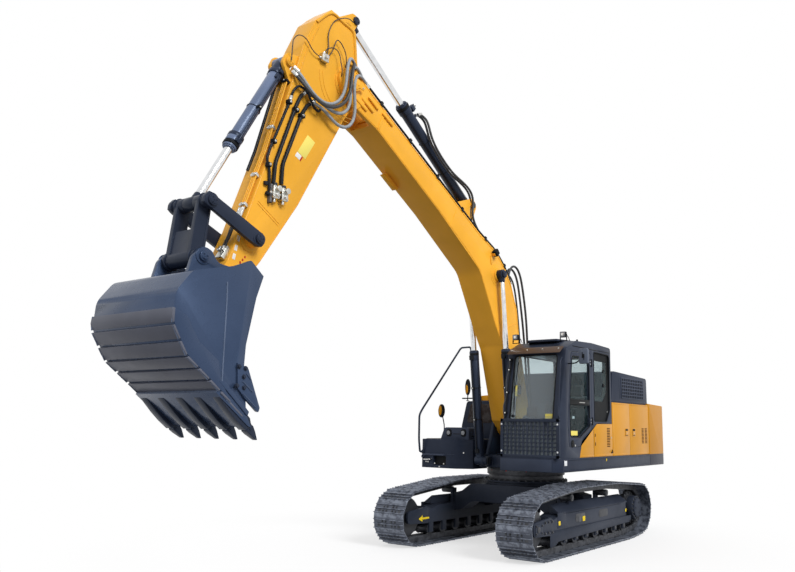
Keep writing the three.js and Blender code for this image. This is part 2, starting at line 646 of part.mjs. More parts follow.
const pane = (points, y) => sidePlate(points, y - GLASS, y);

/** The mesh guard over the lower part of the windscreen, with coarse square holes. */
function lowerGuard() {
  const y = [CAB_RIGHT + 4, CAB_LEFT - 4];
  const z = [DECK_TOP + SEAT, 2010];
  const columns = 6;
  const rows = 4;
  const rim = 45;
  const rib = 22;
  const holeY = (y[1] - y[0] - 2 * rim - rib * (columns - 1)) / columns;
  const holeZ = (z[1] - z[0] - 2 * rim - rib * (rows - 1)) / rows;
  const holes = [];
  for (let c = 0; c < columns; c++) {
    for (let r = 0; r < rows; r++) {
      const left = y[0] + rim + c * (holeY + rib);
      const low = z[0] + rim + r * (holeZ + rib);
      holes.push(block([1480, 1520], [left, left + holeY], [low, low + holeZ]));
    }
  }
  const grid = cut(block([1484, 1510], y, z), ...holes);
  const stand = (side) => block([CAB_FRONT + 1, 1490], side > 0 ? [y[1] - 260, y[1] - 215] : [y[0] + 215, y[0] + 260],
    [1900, 1990]);
  return join(grid, bothSides(stand));
}

/** The driver's seat on its stand. */
function seat() {
  const floor = DECK_TOP + SEAT + CAB_WALL + SEAT;
  const stand = block([60, 460], [740, 1090], [floor, 1760]);
  const base = sidePlate([[-20, 1750, 20], [540, 1750, 40], [560, 1880, 50], [-20, 1860, 20]], 690, 1140);
  const back = sidePlate([[-60, 1780, 40], [60, 1800, 20], [-90, 2420, 40], [-200, 2400, 40]], 700, 1130);
  const head = sidePlate([[-200, 2380, 30], [-100, 2390, 30], [-140, 2620, 40], [-220, 2610, 40]], 800, 1030);
  return join(stand, base, back, head);
}

/** The control column with the travel pedals' stand in front of the seat. */
function driverConsole() {
  const floor = DECK_TOP + SEAT + CAB_WALL + SEAT;
  const left = block([100, 620], [1170, 1290], [floor, 1980]);
  return join(left, bar([560, 1230, 1970], [600, 1230, 2160], 24, 8));
}

// ---------------------------------------------------------------- boom, arm, linkage and bucket
const boomFrame = frameAt(FOOT, BOOM_ANGLE);
const NOSE = boomFrame.at(BOOM_LENGTH, 0);
const LIFT_EYE = [2367, 1125]; // in the boom's frame
const CROWD_BASE = [3540, 1466]; // in the boom's frame
const armFrame = frameAt(NOSE, ARM_ANGLE);
const CROWD_EYE = [-928, 394]; // in the arm's frame
const TIP_BASE = [586, 838]; // in the arm's frame
const LINK_PIVOT = [2817, 39]; // in the arm's frame
const TIP_PIN = armFrame.at(ARM_LENGTH, 0);
const bucketFrame = frameAt(TIP_PIN, BUCKET_ANGLE);
const BUCKET_LINK = 488; // bucket hinge to tipping link
const COUPLER = 613; // length of the tipping link
const IDLER_LINK = 708; // length of the idler links

/** Where two links of given length from two pins meet, on the front side. */
function meet(a, lengthA, b, lengthB) {
  const base = frameBetween(a, b);
  const span_ = distance(a, b);
  const x = (lengthA ** 2 - lengthB ** 2 + span_ ** 2) / (2 * span_);
  return base.at(x, Math.sqrt(lengthA ** 2 - x ** 2));
}
const LINK_BASE = armFrame.at(...LINK_PIVOT);
const LINK_LOW = bucketFrame.at(BUCKET_LINK, 0);
const LINK_TOP = meet(LINK_BASE, IDLER_LINK, LINK_LOW, COUPLER);

/** The bent boom: a box section with a fork at its nose and a bracket on its back. */
function boom() {
  const L = BOOM_LENGTH;
  const side = [
    [-170, -120, 100], [293, -170, 60], [1419, 430, 200], [1800, 500, 150], [2728, 765, 420],
    [L - 2281, 482, 200], [L - 701, 49, 200], [L - 60, -240, 150], [L + 240, -150, 170], [L + 200, 190, 180],
    [L - 261, 300, 100], [L - 1009, 537, 200], [3193, 1178, 300], [2648, 1395, 200], [2297, 1425, 150],
    [1963, 1385, 150], [1544, 1221, 200], [1064, 864, 300], [-130, 170, 150],
  ];
  const body = sidePlate(side, -BOOM_HALF, BOOM_HALF, 3);
  const slot = block([L - 600, L + 500], [-ARM_HALF - RUNNING, ARM_HALF + RUNNING], [-700, 900]);
  const foot = crossBar([0, 0], -BOOM_HALF - 20 + SEAT, BOOM_HALF + 20 - SEAT, 150);
  const liftBoss = crossBar(LIFT_EYE, -LIFT_Y + 50, LIFT_Y - 50, 110);
  const nosePin = bothSides((s) => crossBar([L, 0], ...span(s, BOOM_HALF - 10, BOOM_HALF + 55), 105));
  const [bx, bz] = CROWD_BASE;
  const bracket = (s) => sidePlate([
    [bx - 280, 980], [bx + 430, 800], [bx + 90, bz + 60, 60], [bx - 80, bz + 80, 60],
  ], ...span(s, CROWD_RADIUS + 12, CROWD_RADIUS + 52));
  return join(cut(body, slot), foot, liftBoss, nosePin, bothSides(bracket));
}

/** The arm: a tapering box with a wide boss at the bucket pin. */
function arm() {
  const L = ARM_LENGTH;
  const side = [
    [-225, -40, 120], [30, -230, 120], [482, -200, 100], [1977, -256], [2927, -206, 100], [L + 10, -132, 60],
    [L + 125, -60, 60], [L + 125, 60, 60], [L, 132, 60], [3201, 150, 60], [2794, 205], [1744, 420, 300], [920, 649, 200],
    [254, 825, 200], [-226, 881, 100], [-597, 786, 20], [-760, 330, 60],
  ];
  const body = sidePlate(side, -ARM_HALF, ARM_HALF, 3);
  const pivot = crossBar([0, 0], -ARM_HALF - RUNNING + SEAT, ARM_HALF + RUNNING - SEAT, 180);
  const tip = crossBar([L, 0], -EAR_IN + SEAT, EAR_IN - SEAT, 125);
  const linkBoss = crossBar(LINK_PIVOT, -EAR_IN + SEAT, EAR_IN - SEAT, 85);
  const [cx, cz] = CROWD_EYE;
  const crowdEar = (s) => sidePlate([
    [cx + 260, cz - 60], [cx + 400, cz + 310], [cx - 50, cz + 95, 60], [cx - 100, cz - 50, 60],
  ], ...span(s, 78, 122));
  const [tx, tz] = TIP_BASE;
  const tipEar = (s) => sidePlate([
    [tx - 220, 740], [tx + 260, 600], [tx + 80, tz + 75, 60], [tx - 75, tz + 90, 60],
  ], ...span(s, TIP_RADIUS + 12, TIP_RADIUS + 54));
  const cap = (s) => crossBar([tx, tz], ...span(s, 125, 160), 62);
  return join(body, pivot, tip, linkBoss, bothSides(crowdEar), bothSides(tipEar), bothSides(cap));
}

/** The barrel of a cylinder along x, from its base eye at the origin to its gland. */
function barrel(radius, rod, length, eyeWidth, y = 0) {
  const bore = bar([200, y, 0], [length + 10, y, 0], rod + 1);
  const tube = bar([radius * 0.9, y, 0], [length, y, 0], radius);
  const gland = bar([length - 150, y, 0], [length, y, 0], radius + 3);
  const eye = crossBar([0, 0], y - eyeWidth, y + eyeWidth, radius * 1.05, 12);
  return join(cut(join(tube, gland), bore), eye);
}

/** The rod of a cylinder, its eye at x = reach, its other end inside the barrel. */
function pistonRod(radius, rod, start, reach, eyeWidth, y = 0) {
  const shaft = bar([start, y, 0], [reach - radius * 0.6, y, 0], rod);
  return join(shaft, crossBar([reach, 0], y - eyeWidth, y + eyeWidth, radius * 1.05, 12));
}

/** The two idler links, held together by the cross pin ends they carry. */
function idlerLinks() {
  const plate = (s) => sidePlate([
    [-85, -75, 70], [60, -85, 40], [IDLER_LINK - 40, -75, 40], [IDLER_LINK + 90, -85, 80],
    [IDLER_LINK + 90, 85, 80], [IDLER_LINK - 60, 70, 40], [60, 80, 40], [-85, 75, 70],
  ], ...span(s, EAR_IN, EAR_IN + EAR));
  const cap = (s, x) => crossBar([x, 0], ...span(s, EAR_IN + EAR - 5, EAR_IN + EAR + 34), 58);
  return (s) => join(plate(s), cap(s, 0), cap(s, IDLER_LINK));
}

/** The tipping link: cheeks on a wide tube at the bucket, with short bosses at the top pin. */
function tippingLink() {
  const wide = EAR_IN - SEAT;
  const low = crossBar([0, 0], -wide, wide, 92);
  const boss = (s) => crossBar([COUPLER, 0], ...span(s, 85, wide), 82);
  const cheek = (s) => sidePlate([
    [-20, -85], [COUPLER, -80, 10], [COUPLER, 80, 10], [-20, 85],
  ], ...span(s, 150, 205));
  const web = sidePlate([[40, -70], [300, -60], [300, -20], [40, -30]], -160, 160);
  return join(low, bothSides(boss), bothSides(cheek), web);
}

/** The bucket's side outline behind the cutting edge. */
const BUCKET_SIDE = [
  [-40, 50], [175, 110, 40], [330, -60, 120], [560, -240, 120], [720, -360, 150], [785, -620, 220],
  [720, -900, 220], [420, -1120, 200], [80, -1205, 60], [-482, -1355], [-500, -1330], [-235, -876],
  [-165, -694, 160], [-60, -200, 160],
];

/** The bucket: two side plates, the wrapped back, ears, cutting edge, teeth and side cutters. */
function bucket() {
  const inner = BUCKET_HALF - BUCKET_PLATE;
  const cheek = (s) => sidePlate(BUCKET_SIDE, ...span(s, inner, BUCKET_HALF), 4);
  const wrap = sidePlate([
    [-60, -200, 20], [60, -152, 60], [330, -72, 100], ...BUCKET_SIDE.slice(3, 10), [-500, -1330], [-200, -1180],
    [300, -900], [500, -600], [300, -300],
  ], -inner - 1, inner + 1, 4);
  const hollow = sidePlate([
    [-700, -1480 + 130], [-482, -1355 + BUCKET_PLATE], [80, -1205 + BUCKET_PLATE, 60],
    [410, -1120 + BUCKET_PLATE, 200], [700, -885 + BUCKET_PLATE, 220], [755, -620, 220],
    [690, -380, 150], [540, -275, 120], [320, -102, 100], [60, -180, 60], [-90, -240], [-900, -400],
  ], -inner, inner, 4);
  const edge = sidePlate([
    [-600, -1392], [-560, -1398], [-60, -1268], [-60, -1190], [-480, -1300],
  ], -BUCKET_HALF, BUCKET_HALF);
  const ear = (s) => sidePlate([
    [-115, -130], [-115, 50, 100], [60, 120, 100], [300, 40, 100], [420, 110, 60], [540, 105, 90],
    [590, -60, 80], [560, -260], [200, -190],
  ], ...span(s, EAR_IN, EAR_IN + EAR));
  const cap = (s, x) => crossBar([x, 0], ...span(s, EAR_IN + EAR - 5, EAR_IN + EAR + 30), 56);
  const cutter = (s) => sidePlate([
    [-130, -900, 20], [-280, -900, 20], [-590, -1185, 20], [-600, -1240, 20], [-380, -1180, 40], [-250, -1130, 20],
  ], ...span(s, BUCKET_HALF - 2, BUCKET_HALF + 30));
  const gap = (2 * BUCKET_HALF - 130) / (TOOTH_COUNT - 1);
  const teeth = Array.from({ length: TOOTH_COUNT }, (_, i) => tooth(-BUCKET_HALF + 65 + i * gap));
  return join(cut(wrap, hollow), bothSides(cheek), edge, bothSides(ear), bothSides((s) => join(cap(s, 0), cap(s, BUCKET_LINK))),
    bothSides(cutter), ...teeth);
}

/** A tooth on its adapter, tapering to its tip below the cutting edge. */
function tooth(y) {
  const profile = [
    [-763, -1453], [-690, -1400], [-520, -1320], [-330, -1255], [-250, -1275], [-420, -1370], [-560, -1425],
    [-740, -1468],
  ];
  const wide = sidePlate(profile, y - 46, y + 46);
  const plan = [
    [-770, y - 14], [-560, y - 40], [-240, y - 46], [-240, y + 46], [-560, y + 40], [-770, y + 14],
  ];
  return wide.intersect(levelPlate(plan, -1600, -1100));
}

// ---------------------------------------------------------------- assembly
for (const [side, name] of [[1, 'left'], [-1, 'right']]) {
  const y = (side * GAUGE) / 2;
  const turned = (body) => (side > 0 ? body : body.mirror([0, 1, 0])).translate([0, y, 0]);
  place(`track_frame_${name}`, turned(trackFrame()), navy);
  place(`idler_${name}`, turned(idler()), iron);
  place(`sprocket_${name}`, turned(sprocket()), iron);
  place(`track_${name}`, turned(track()), iron);
}
place('carbody', carbody(), navy);
place('slew_ring', slewRing(), iron);

place('slewing_frame', slewingFrame(), navy);
place('counterweight', counterweight(), amber);
place('power_block', powerBlock(), iron);
place('machinery_shell', machineryShell(), navy);
place('hood', hood(), navy);
place('right_cover', rightCover(), amber);
place('left_step_panel', stepPanel(), amber);
place('left_front_door', leftFrontDoor(), amber);
place('left_middle_door', sideDoor(1, [SEAM_X[2] + 3, SEAM_X[1] - 3], DOOR_Z), amber);
place('left_rear_door', sideDoor(1, [BAY_REAR + 5, SEAM_X[2] - 3], DOOR_Z), amber);
place('right_front_door', sideDoor(-1, [SEAM_X[2] + 3, BAY_FRONT - 5], DOOR_Z), amber);
place('right_rear_door', sideDoor(-1, [BAY_REAR + 5, SEAM_X[2] - 3], DOOR_Z), amber);
place('tank', tank(), navy);
place('toolbox', toolbox(), navy);
place('toolbox_lid', toolboxLid(), navy);
place('right_handrail', rightHandrail(), iron);
place('mirror_left', mirror([1390, 1790, 2945], [150, 235], [1200, CAB_LEFT + SEAT, 2860], [1200, 1560, 2860]), iron);
place('mirror_right', mirror([600, -1400, 2150], [130, 240], [560, -1360, 1659 + SEAT], [560, -1360, 1900]), iron);

place('cab_shell', cabShell(), slate);
place('windscreen', windscreen(), glazing);
place('cab_right_glass', pane(rightWindowOutline(SEAT), CAB_RIGHT + 30), glazing);
place('cab_side_glass', pane(rearSideOutline(SEAT), CAB_LEFT - 20), glazing);
place('cab_rear_glass', frontPlate(rearWindowOutline(SEAT), CAB_REAR + 30, CAB_REAR + 30 + GLASS), glazing);
place('cab_roof_glass', levelPlate(roofWindowOutline(SEAT), 3210, 3210 + GLASS), glazing);
place('cab_door', cabDoor(), slate);
place('door_glass', doorGlass(), glazing);
place('lower_guard', lowerGuard(), slate);
place('seat', seat(), cushion);
place('console', driverConsole(), rubber);

const liftEye = boomFrame.at(...LIFT_EYE);
const liftFrame = frameBetween(LIFT_BASE, liftEye);
const liftReach = distance(LIFT_BASE, liftEye);
for (const [side, name] of [[1, 'left'], [-1, 'right']]) {
  const y = side * LIFT_Y;
  place(`boom_cylinder_${name}`, barrel(LIFT_RADIUS, LIFT_ROD, LIFT_BARREL, LIFT_RADIUS + 2 - SEAT, y), navy, liftFrame);
  place(`boom_rod_${name}`, pistonRod(LIFT_RADIUS, LIFT_ROD, LIFT_BARREL - 300, liftReach, 50 - SEAT, y), chrome,
    liftFrame);
}
const crowdBase = boomFrame.at(...CROWD_BASE);
const crowdEye = armFrame.at(...CROWD_EYE);
const crowdFrame = frameBetween(crowdBase, crowdEye);
const crowdReach = distance(crowdBase, crowdEye);
place('boom', boom(), amber, boomFrame);
place('arm_cylinder', barrel(CROWD_RADIUS, CROWD_ROD, CROWD_BARREL, CROWD_RADIUS + 12 - SEAT), navy, crowdFrame);
place('arm_rod', pistonRod(CROWD_RADIUS, CROWD_ROD, CROWD_BARREL - 732, crowdReach, 78 - SEAT), chrome, crowdFrame);
place('arm', arm(), amber, armFrame);

const tipBase = armFrame.at(...TIP_BASE);
const tipFrame = frameBetween(tipBase, LINK_TOP);
const tipReach = distance(tipBase, LINK_TOP);
place('bucket_cylinder', barrel(TIP_RADIUS, TIP_ROD, TIP_BARREL, TIP_RADIUS + 12 - SEAT), slate, tipFrame);
place('bucket_rod', pistonRod(TIP_RADIUS, TIP_ROD, TIP_BARREL - 700, tipReach, 85 - SEAT), chrome, tipFrame);
const linkFrame = frameBetween(LINK_BASE, LINK_TOP);
place('idler_link_left', idlerLinks()(1), slate, linkFrame);
place('idler_link_right', idlerLinks()(-1), slate, linkFrame);
place('tipping_link', tippingLink(), slate, frameBetween(LINK_LOW, LINK_TOP));
place('bucket', bucket(), slate, bucketFrame);

// The origin is on the ground under the middle of the whole machine's box.
machine.updateMatrixWorld(true);
const box = new THREE.Box3().setFromObject(machine, true);
const middle = box.getCenter(new THREE.Vector3());
machine.position.set(-middle.x, -middle.y, -box.min.z);

export default machine;
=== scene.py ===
"""A crawler excavator with a raised boom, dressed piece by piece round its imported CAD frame.

Metres, +X towards the digging end, +Y to the machine's left, +Z up."""

import json
from math import asin, atan2, cos, hypot, pi, radians, sin

import bpy
from mathutils import Matrix, Vector


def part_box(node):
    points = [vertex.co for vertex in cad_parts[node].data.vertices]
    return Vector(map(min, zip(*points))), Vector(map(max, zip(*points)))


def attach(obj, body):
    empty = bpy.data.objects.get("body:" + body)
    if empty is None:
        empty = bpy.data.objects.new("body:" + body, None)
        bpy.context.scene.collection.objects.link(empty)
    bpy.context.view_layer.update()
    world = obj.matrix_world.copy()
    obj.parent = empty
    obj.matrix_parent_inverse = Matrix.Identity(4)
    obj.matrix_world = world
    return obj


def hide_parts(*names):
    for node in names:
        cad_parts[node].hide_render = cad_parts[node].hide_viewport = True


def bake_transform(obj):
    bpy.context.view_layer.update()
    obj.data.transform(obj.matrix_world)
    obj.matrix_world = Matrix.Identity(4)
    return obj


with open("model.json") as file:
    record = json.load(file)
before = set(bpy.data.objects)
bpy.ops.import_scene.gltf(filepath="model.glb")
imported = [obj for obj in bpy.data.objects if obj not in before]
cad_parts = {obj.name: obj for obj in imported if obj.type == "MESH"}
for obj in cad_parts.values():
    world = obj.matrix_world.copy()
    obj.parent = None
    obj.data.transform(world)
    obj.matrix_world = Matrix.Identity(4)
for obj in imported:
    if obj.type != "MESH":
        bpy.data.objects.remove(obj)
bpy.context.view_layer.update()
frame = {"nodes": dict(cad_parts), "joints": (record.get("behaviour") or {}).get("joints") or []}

# ---------------------------------------------------------------- the studio
# A pale sweep of floor under a broad sky of soft light, and the camera beside the machine's
# left front corner, low, looking up at the boom. Places are counted from the slew axis.
joint_at = {j["name"]: Vector(j["pos_m"]) for j in frame["joints"] if j.get("pos_m")}
SLEW = Vector((joint_at["swing"].x, joint_at["swing"].y, 0))
HOUSE = Matrix.Translation(SLEW)  # the house's own places, to the row frame


class Signal:
    """One output of a material's nodes. A sum or product of signals adds its Math nodes."""

    def __init__(self, tree, socket=None):
        self.tree, self.socket = tree, socket

    def node(self, kind, settings=None, sockets=None, output=0):
        """Any node: its settings first, then its sockets' values or links."""
        made = self.tree.nodes.new("ShaderNode" + kind)
        for key, value in (settings or {}).items():
            if key == "stops":
                ramp = made.color_ramp.elements
                while len(ramp) < len(value):
                    ramp.new(0.5)
                for stop, (place, colour) in zip(ramp, value):
                    stop.position, stop.color = place, (*colour, 1)
            else:
                setattr(made, key, value)
        for key, value in (sockets or {}).items():
            if isinstance(value, Signal):
                self.tree.links.new(value.socket, made.inputs[key])
            else:
                made.inputs[key].default_value = value
        return Signal(self.tree, made.outputs[output])

    def math(self, operation, first, second=None):
        sockets = {0: first} if second is None else {0: first, 1: second}
        return self.node("Math", {"operation": operation}, sockets)

    def __add__(self, other):
        return self.math("ADD", self, other)

    def __radd__(self, other):
        return self.math("ADD", other, self)

    def __sub__(self, other):
        return self.math("SUBTRACT", self, other)

    def __rsub__(self, other):
        return self.math("SUBTRACT", other, self)

    def __mul__(self, other):
        return self.math("MULTIPLY", self, other)

    def __rmul__(self, other):
        return self.math("MULTIPLY", other, self)

    def __gt__(self, other):
        return self.math("GREATER_THAN", self, other)

    def __lt__(self, other):
        return self.math("LESS_THAN", self, other)

    def between(self, low, high):
        """0 below low, 1 above high, smooth in between."""
        return self.node("MapRange", {"interpolation_type": "SMOOTHSTEP"}, {0: self, 1: low, 2: high})

    def noise(self, scale, detail=2.0, rough=0.5):
        """Noise of that many cells to the metre, from a place on the piece."""
        return self.node("TexNoise", None, {0: self, 2: scale, 3: detail, 4: rough})

    def blend(self, one, other):
        """A colour between two, by this signal."""
        return self.node("Mix", {"data_type": "RGBA"}, {0: self, 6: one, 7: other}, 2)


def new_material(name):
    """An empty material's tree, its output node, and a signal to start from."""
    material = bpy.data.materials.new(name)
    material.use_nodes = True
    tree = material.node_tree
    tree.nodes.clear()
    return material, tree.nodes.new("ShaderNodeOutputMaterial"), Signal(tree)


def seen_directly(start):
    """1 for what the camera sees, straight, in a reflection or through glass."""
    rays = [start.node("LightPath", output=n) for n in (0, 3, 6)]
    return start.math("MAXIMUM", rays[0], start.math("MAXIMUM", rays[1], rays[2]))


bpy.ops.object.select_all(action="DESELECT")
bpy.ops.object.camera_add(location=SLEW + Vector((11.9695, 6.8019, 1.8677)))
camera = bpy.context.object
camera.name = "camera"
turn = (Matrix.Rotation(radians(214.7638 - 90), 4, "Z") @ Matrix.Rotation(radians(90 + 10.3992), 4, "X")
        @ Matrix.Rotation(radians(0.87285), 4, "Z"))
camera.matrix_world = Matrix.Translation(camera.location) @ turn
camera.data.lens, camera.data.sensor_width = 34.78, 36
camera.data.shift_x, camera.data.clip_end = -0.0755, 300
scene = bpy.context.scene
scene.camera = camera
scene.view_settings.view_transform = "Standard"

bpy.ops.mesh.primitive_circle_add(vertices=96, radius=90, fill_type="NGON", location=SLEW)
floor = bpy.context.object
floor.name = "floor"
FLOOR_DROP = 0.002
floor.data.transform(Matrix.Translation((SLEW.x, SLEW.y, -FLOOR_DROP)))
floor.location = (0, 0, 0)
material, output, start = new_material("pale_floor")
where = start.node("TexCoord", output=3)
offset = start.node("VectorMath", {"operation": "DISTANCE"}, {0: where, 1: (SLEW.x + 0.9, SLEW.y, 0)}, 1)
bounce = seen_directly(start).blend((0.22, 0.22, 0.23, 1), (0.86, 0.86, 0.87, 1))
plain = start.node("BsdfDiffuse", None, {"Color": bounce})
glow = start.node("Emission", None, {"Color": (1, 1, 1, 1), "Strength": 1.0})
away = offset.between(1.5, 7.0)
whiteness = (0.62 + 0.38 * away) * seen_directly(start)
start.tree.links.new(start.node("MixShader", None, {0: whiteness, 1: plain, 2: glow}).socket, output.inputs[0])
floor.data.materials.append(material)

SKY = 0.72  # how much light the sky gives
world = bpy.data.worlds.new("soft_sky")
scene.world = world
world.use_nodes = True
world.node_tree.nodes.clear()
sky = Signal(world.node_tree)
background = sky.node("Background", None, {"Color": (1, 1, 1, 1), "Strength": SKY + (1 - SKY) * seen_directly(sky)})
sky.tree.links.new(background.socket, world.node_tree.nodes.new("ShaderNodeOutputWorld").inputs[0])

for name, toward, strength, spread in (("key_sun", (0.22, 0.90, 0.62), 2.5, 24),
                                       ("fill_sun", (0.9, -0.5, 0.25), 0.30, 50)):
    bpy.ops.object.light_add(type="SUN")
    lamp = bpy.context.object
    lamp.name = name
    lamp.rotation_euler = Vector(toward).to_track_quat("Z", "Y").to_euler()
    lamp.data.energy, lamp.data.angle = strength, radians(spread)

# ---------------------------------------------------------------- hoses over the joints
# Fabric-wrapped pressure hoses of wire-braided rubber, crimped into zinc-plated ferrules. They
# hang in open loops at the arm's pivot and behind the boom's foot, so that the joints can turn.
HOSE = 0.043


def enamel(name, colour, rough=0.34, coat=0.25, worn=0.0, tone=0.10, peel=0.05, shine=0.08, tint=(1, 1, 1)):
    """Sprayed machine enamel: slow drifts of tone, faint orange peel, and paler rubbed edges."""
    material, output, start = new_material(name)
    where = start.node("TexCoord", output=3)
    drift = where.noise(1.3, 4)
    film = where.noise(9.0, 5, 0.6)
    dark = tuple(c * (1 - tone) for c in colour)
    light = tuple(min(1, c * (1 + tone) + 0.004) for c in colour)
    tinted = drift.between(0.35, 0.65).blend((*dark, 1), (*light, 1))
    if worn:
        edge = start.node("NewGeometry", output=7).between(0.515, 0.60) * film.between(0.42, 0.62)
        tinted = (edge * worn).blend(tinted, (0.32, 0.33, 0.35, 1))
    bump = start.node("Bump", None, {"Strength": peel, "Distance": 0.002, "Height": where.noise(160.0, 2)})
    shader = start.node("BsdfPrincipled", None, {
        "Base Color": tinted, "Roughness": rough - 0.06 + 0.14 * film, "Normal": bump,
        "Coat Weight": 0.12 * coat, "Coat Roughness": 0.12, "Specular IOR Level": shine,
        "Specular Tint": (*tint, 1)})
    start.tree.links.new(shader.socket, output.inputs[0])
    return material


def metal(name, colour, rough=0.3, grain=60.0, metallic=1.0):
    """Bare or plated metal, with a fine uneven grain."""
    material, output, start = new_material(name)
    where = start.node("TexCoord", output=3)
    cloud = where.noise(grain, 4, 0.6)
    tinted = cloud.between(0.3, 0.7).blend((*(c * 0.85 for c in colour), 1), (*colour, 1))
    bump = start.node("Bump", None, {"Strength": 0.06, "Distance": 0.001, "Height": where.noise(grain * 6, 3)})
    shader = start.node("BsdfPrincipled", None, {
        "Base Color": tinted, "Roughness": rough - 0.08 + 0.16 * cloud, "Metallic": metallic, "Normal": bump})
    start.tree.links.new(shader.socket, output.inputs[0])
    return material


def wrapped(name, colour, rough=0.6, turns=45.0, depth=0.4):
    """Hose cover: a spiral wrap read from the distance along the hose that each ring stores."""
    material, output, start = new_material(name)
    along = start.node("Attribute", {"attribute_name": "along"}, output=2)
    where = start.node("TexCoord", output=3)
    ridge = start.math("SINE", along * (2 * pi * turns))
    grime = where.noise(25.0, 3)
    tinted = grime.between(0.35, 0.7).blend((*(c * 0.8 for c in colour), 1), (*colour, 1))
    bump = start.node("Bump", None, {"Strength": depth, "Distance": 0.002, "Height": ridge})
    shader = start.node("BsdfPrincipled", None, {
        "Base Color": tinted, "Roughness": rough - 0.05 + 0.1 * grime, "Normal": bump})
    start.tree.links.new(shader.socket, output.inputs[0])
    return material


zinc = metal("zinc_plate", (0.62, 0.62, 0.60), 0.32)
grey_wrap = wrapped("grey_hose_wrap", (0.30, 0.33, 0.36), 0.42, 60, 0.25)
black_wrap = wrapped("black_hose_rubber", (0.022, 0.023, 0.026), 0.45, 80, 0.15)


def deselect():
    bpy.ops.object.select_all(action="DESELECT")


def flowing(points, steps=6):
    """A smooth line through points."""
    points = [Vector(p) for p in points]
    ends = [points[0] * 2 - points[1], *points, points[-1] * 2 - points[-2]]
    line = []
    for a, b, c, d in zip(ends, ends[1:], ends[2:], ends[3:]):
        for i in range(steps):
            t = i / steps
            line.append(0.5 * (2 * b + (c - a) * t + (2 * a - 5 * b + 4 * c - d) * t * t
                               + (3 * b - 3 * c + d - a) * t ** 3))
    return [*line, points[-1]]


def length_of(line):
    return sum((b - a).length for a, b in zip(line, line[1:]))


def tube(line, radius, finish, ring=3):
    """A round tube along a line, whose rings store how far along they are."""
    line = [Vector(p) for p in line]
    deselect()
    bpy.ops.curve.primitive_nurbs_path_add()
    made = bpy.context.object
    made.data.splines.clear()
    spline = made.data.splines.new("POLY")
    spline.points.add(len(line) - 1)
    for point, place in zip(spline.points, line):
        point.co = (*place, 1)
    made.data.bevel_depth, made.data.bevel_resolution = radius, ring
    made.data.use_fill_caps = True
    bpy.ops.object.convert(target="MESH")
    made = bpy.context.object
    around = len(made.data.vertices) // len(line)
    so_far = [0.0]
    for a, b in zip(line, line[1:]):
        so_far.append(so_far[-1] + (b - a).length)
    stored = made.data.attributes.new("along", "FLOAT", "POINT")
    stored.data.foreach_set("value", [so_far[min(i // around,
                                                 len(line) - 1)] for i in range(len(made.data.vertices))])
    made.data.materials.clear()
    made.data.materials.append(finish)
    bpy.ops.object.shade_smooth_by_angle(angle=radians(50))
    return made


def soften(piece, width, steps=2, angle=32):
    """Breaks a piece's sharp edges."""
    bpy.context.view_layer.objects.active = piece
    edge = piece.modifiers.new("broken_edge", "BEVEL")
    edge.width, edge.segments, edge.angle_limit = width, steps, radians(angle)
    edge.use_clamp_overlap = True
    bpy.ops.object.modifier_apply(modifier=edge.name)
    return piece


def rod(a, b, radius, finish, sides=24, edge=0.0015, taper=1.0):
    """A round bar or cone between two points."""
    a, b = Vector(a), Vector(b)
    deselect()
    facing = (b - a).to_track_quat("Z", "Y").to_euler()
    bpy.ops.mesh.primitive_cone_add(vertices=sides, radius1=radius, radius2=radius * taper, depth=(b - a).length,
                                    location=(a + b) / 2, rotation=facing)
    bpy.ops.object.transform_apply(location=True, rotation=True, scale=True)
    made = bpy.context.object
    if edge:
        soften(made, edge)
    made.data.materials.append(finish)
    return made


def join(name, pieces):
    """Welds pieces into one object."""
    pieces = [p for p in pieces if p]
    deselect()
    for p in pieces:
        p.select_set(True)
    bpy.context.view_layer.objects.active = pieces[0]
    if len(pieces) > 1:
        bpy.ops.object.join()
    pieces[0].name = name
    return pieces[0]


def fit(piece, body, at=None, smooth=38, stands_for=()):
    """Puts a finished piece in the row frame, on its body, and hides the CAD parts it stands for."""
    if at is not None:
        piece.data.transform(at)
    deselect()
    piece.select_set(True)
    bpy.context.view_layer.objects.active = piece
    if smooth:
        bpy.ops.object.shade_smooth_by_angle(angle=radians(smooth))
    if body:
        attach(piece, body)
    if stands_for:
        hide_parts(*stands_for)
    return piece


def ferrule(end, inward, body, name, size=HOSE):
    """A crimped ferrule with its hexagon, at a hose's end."""
    end, inward = Vector(end), Vector(inward).normalized()
    parts = [
        rod(end, end + inward * 0.075, size * 0.60, zinc, 20, 0.003),
        rod(end - inward * 0.012, end + inward * 0.014, size * 0.78, zinc, 6, 0.002),
        rod(end + inward * 0.03, end + inward * 0.036, size * 0.66, zinc, 20, 0.001),
    ]
    return fit(join(name, parts), body)


def relaxed(line, rounds=26):
    """Spread a line's points evenly and ease its tight bends, its ends held where they are."""
    steps, made, walked = max(24, int(length_of(line) / 0.035)), [line[0]], 0.0
    pitch = length_of(line) / steps
    for a, b in zip(line, line[1:]):
        span = (b - a).length
        while len(made) < steps and pitch * len(made) <= walked + span:
            made.append(a.lerp(b, (pitch * len(made) - walked) / span))
        walked += span
    made.append(line[-1])
    for _ in range(rounds):
        made = made[:2] + [p * 0.5 + (a + b) * 0.25 for a, p,
                           b in zip(made[1:], made[2:-2], made[3:-1])] + made[-2:]
    return made


def free_hose(name, route, size, finish, a, b, start):
    """A hose from a fitting on body b to one on body a, bending between them."""
    line = relaxed(flowing([SLEW + Vector(p) for p in route]))
    hose = tube(line, size / 2, finish)
    hose.name = name
    fittings = [ferrule(line[0], line[1] - line[0], b, name + "_ferrule_1", size),
                ferrule(line[-1], line[-2] - line[-1], a, name + "_ferrule_2", size)]
    if start is None:
        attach(hose, a)
    else:
        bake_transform(hose)
    round(length_of(line), 3)
    return hose


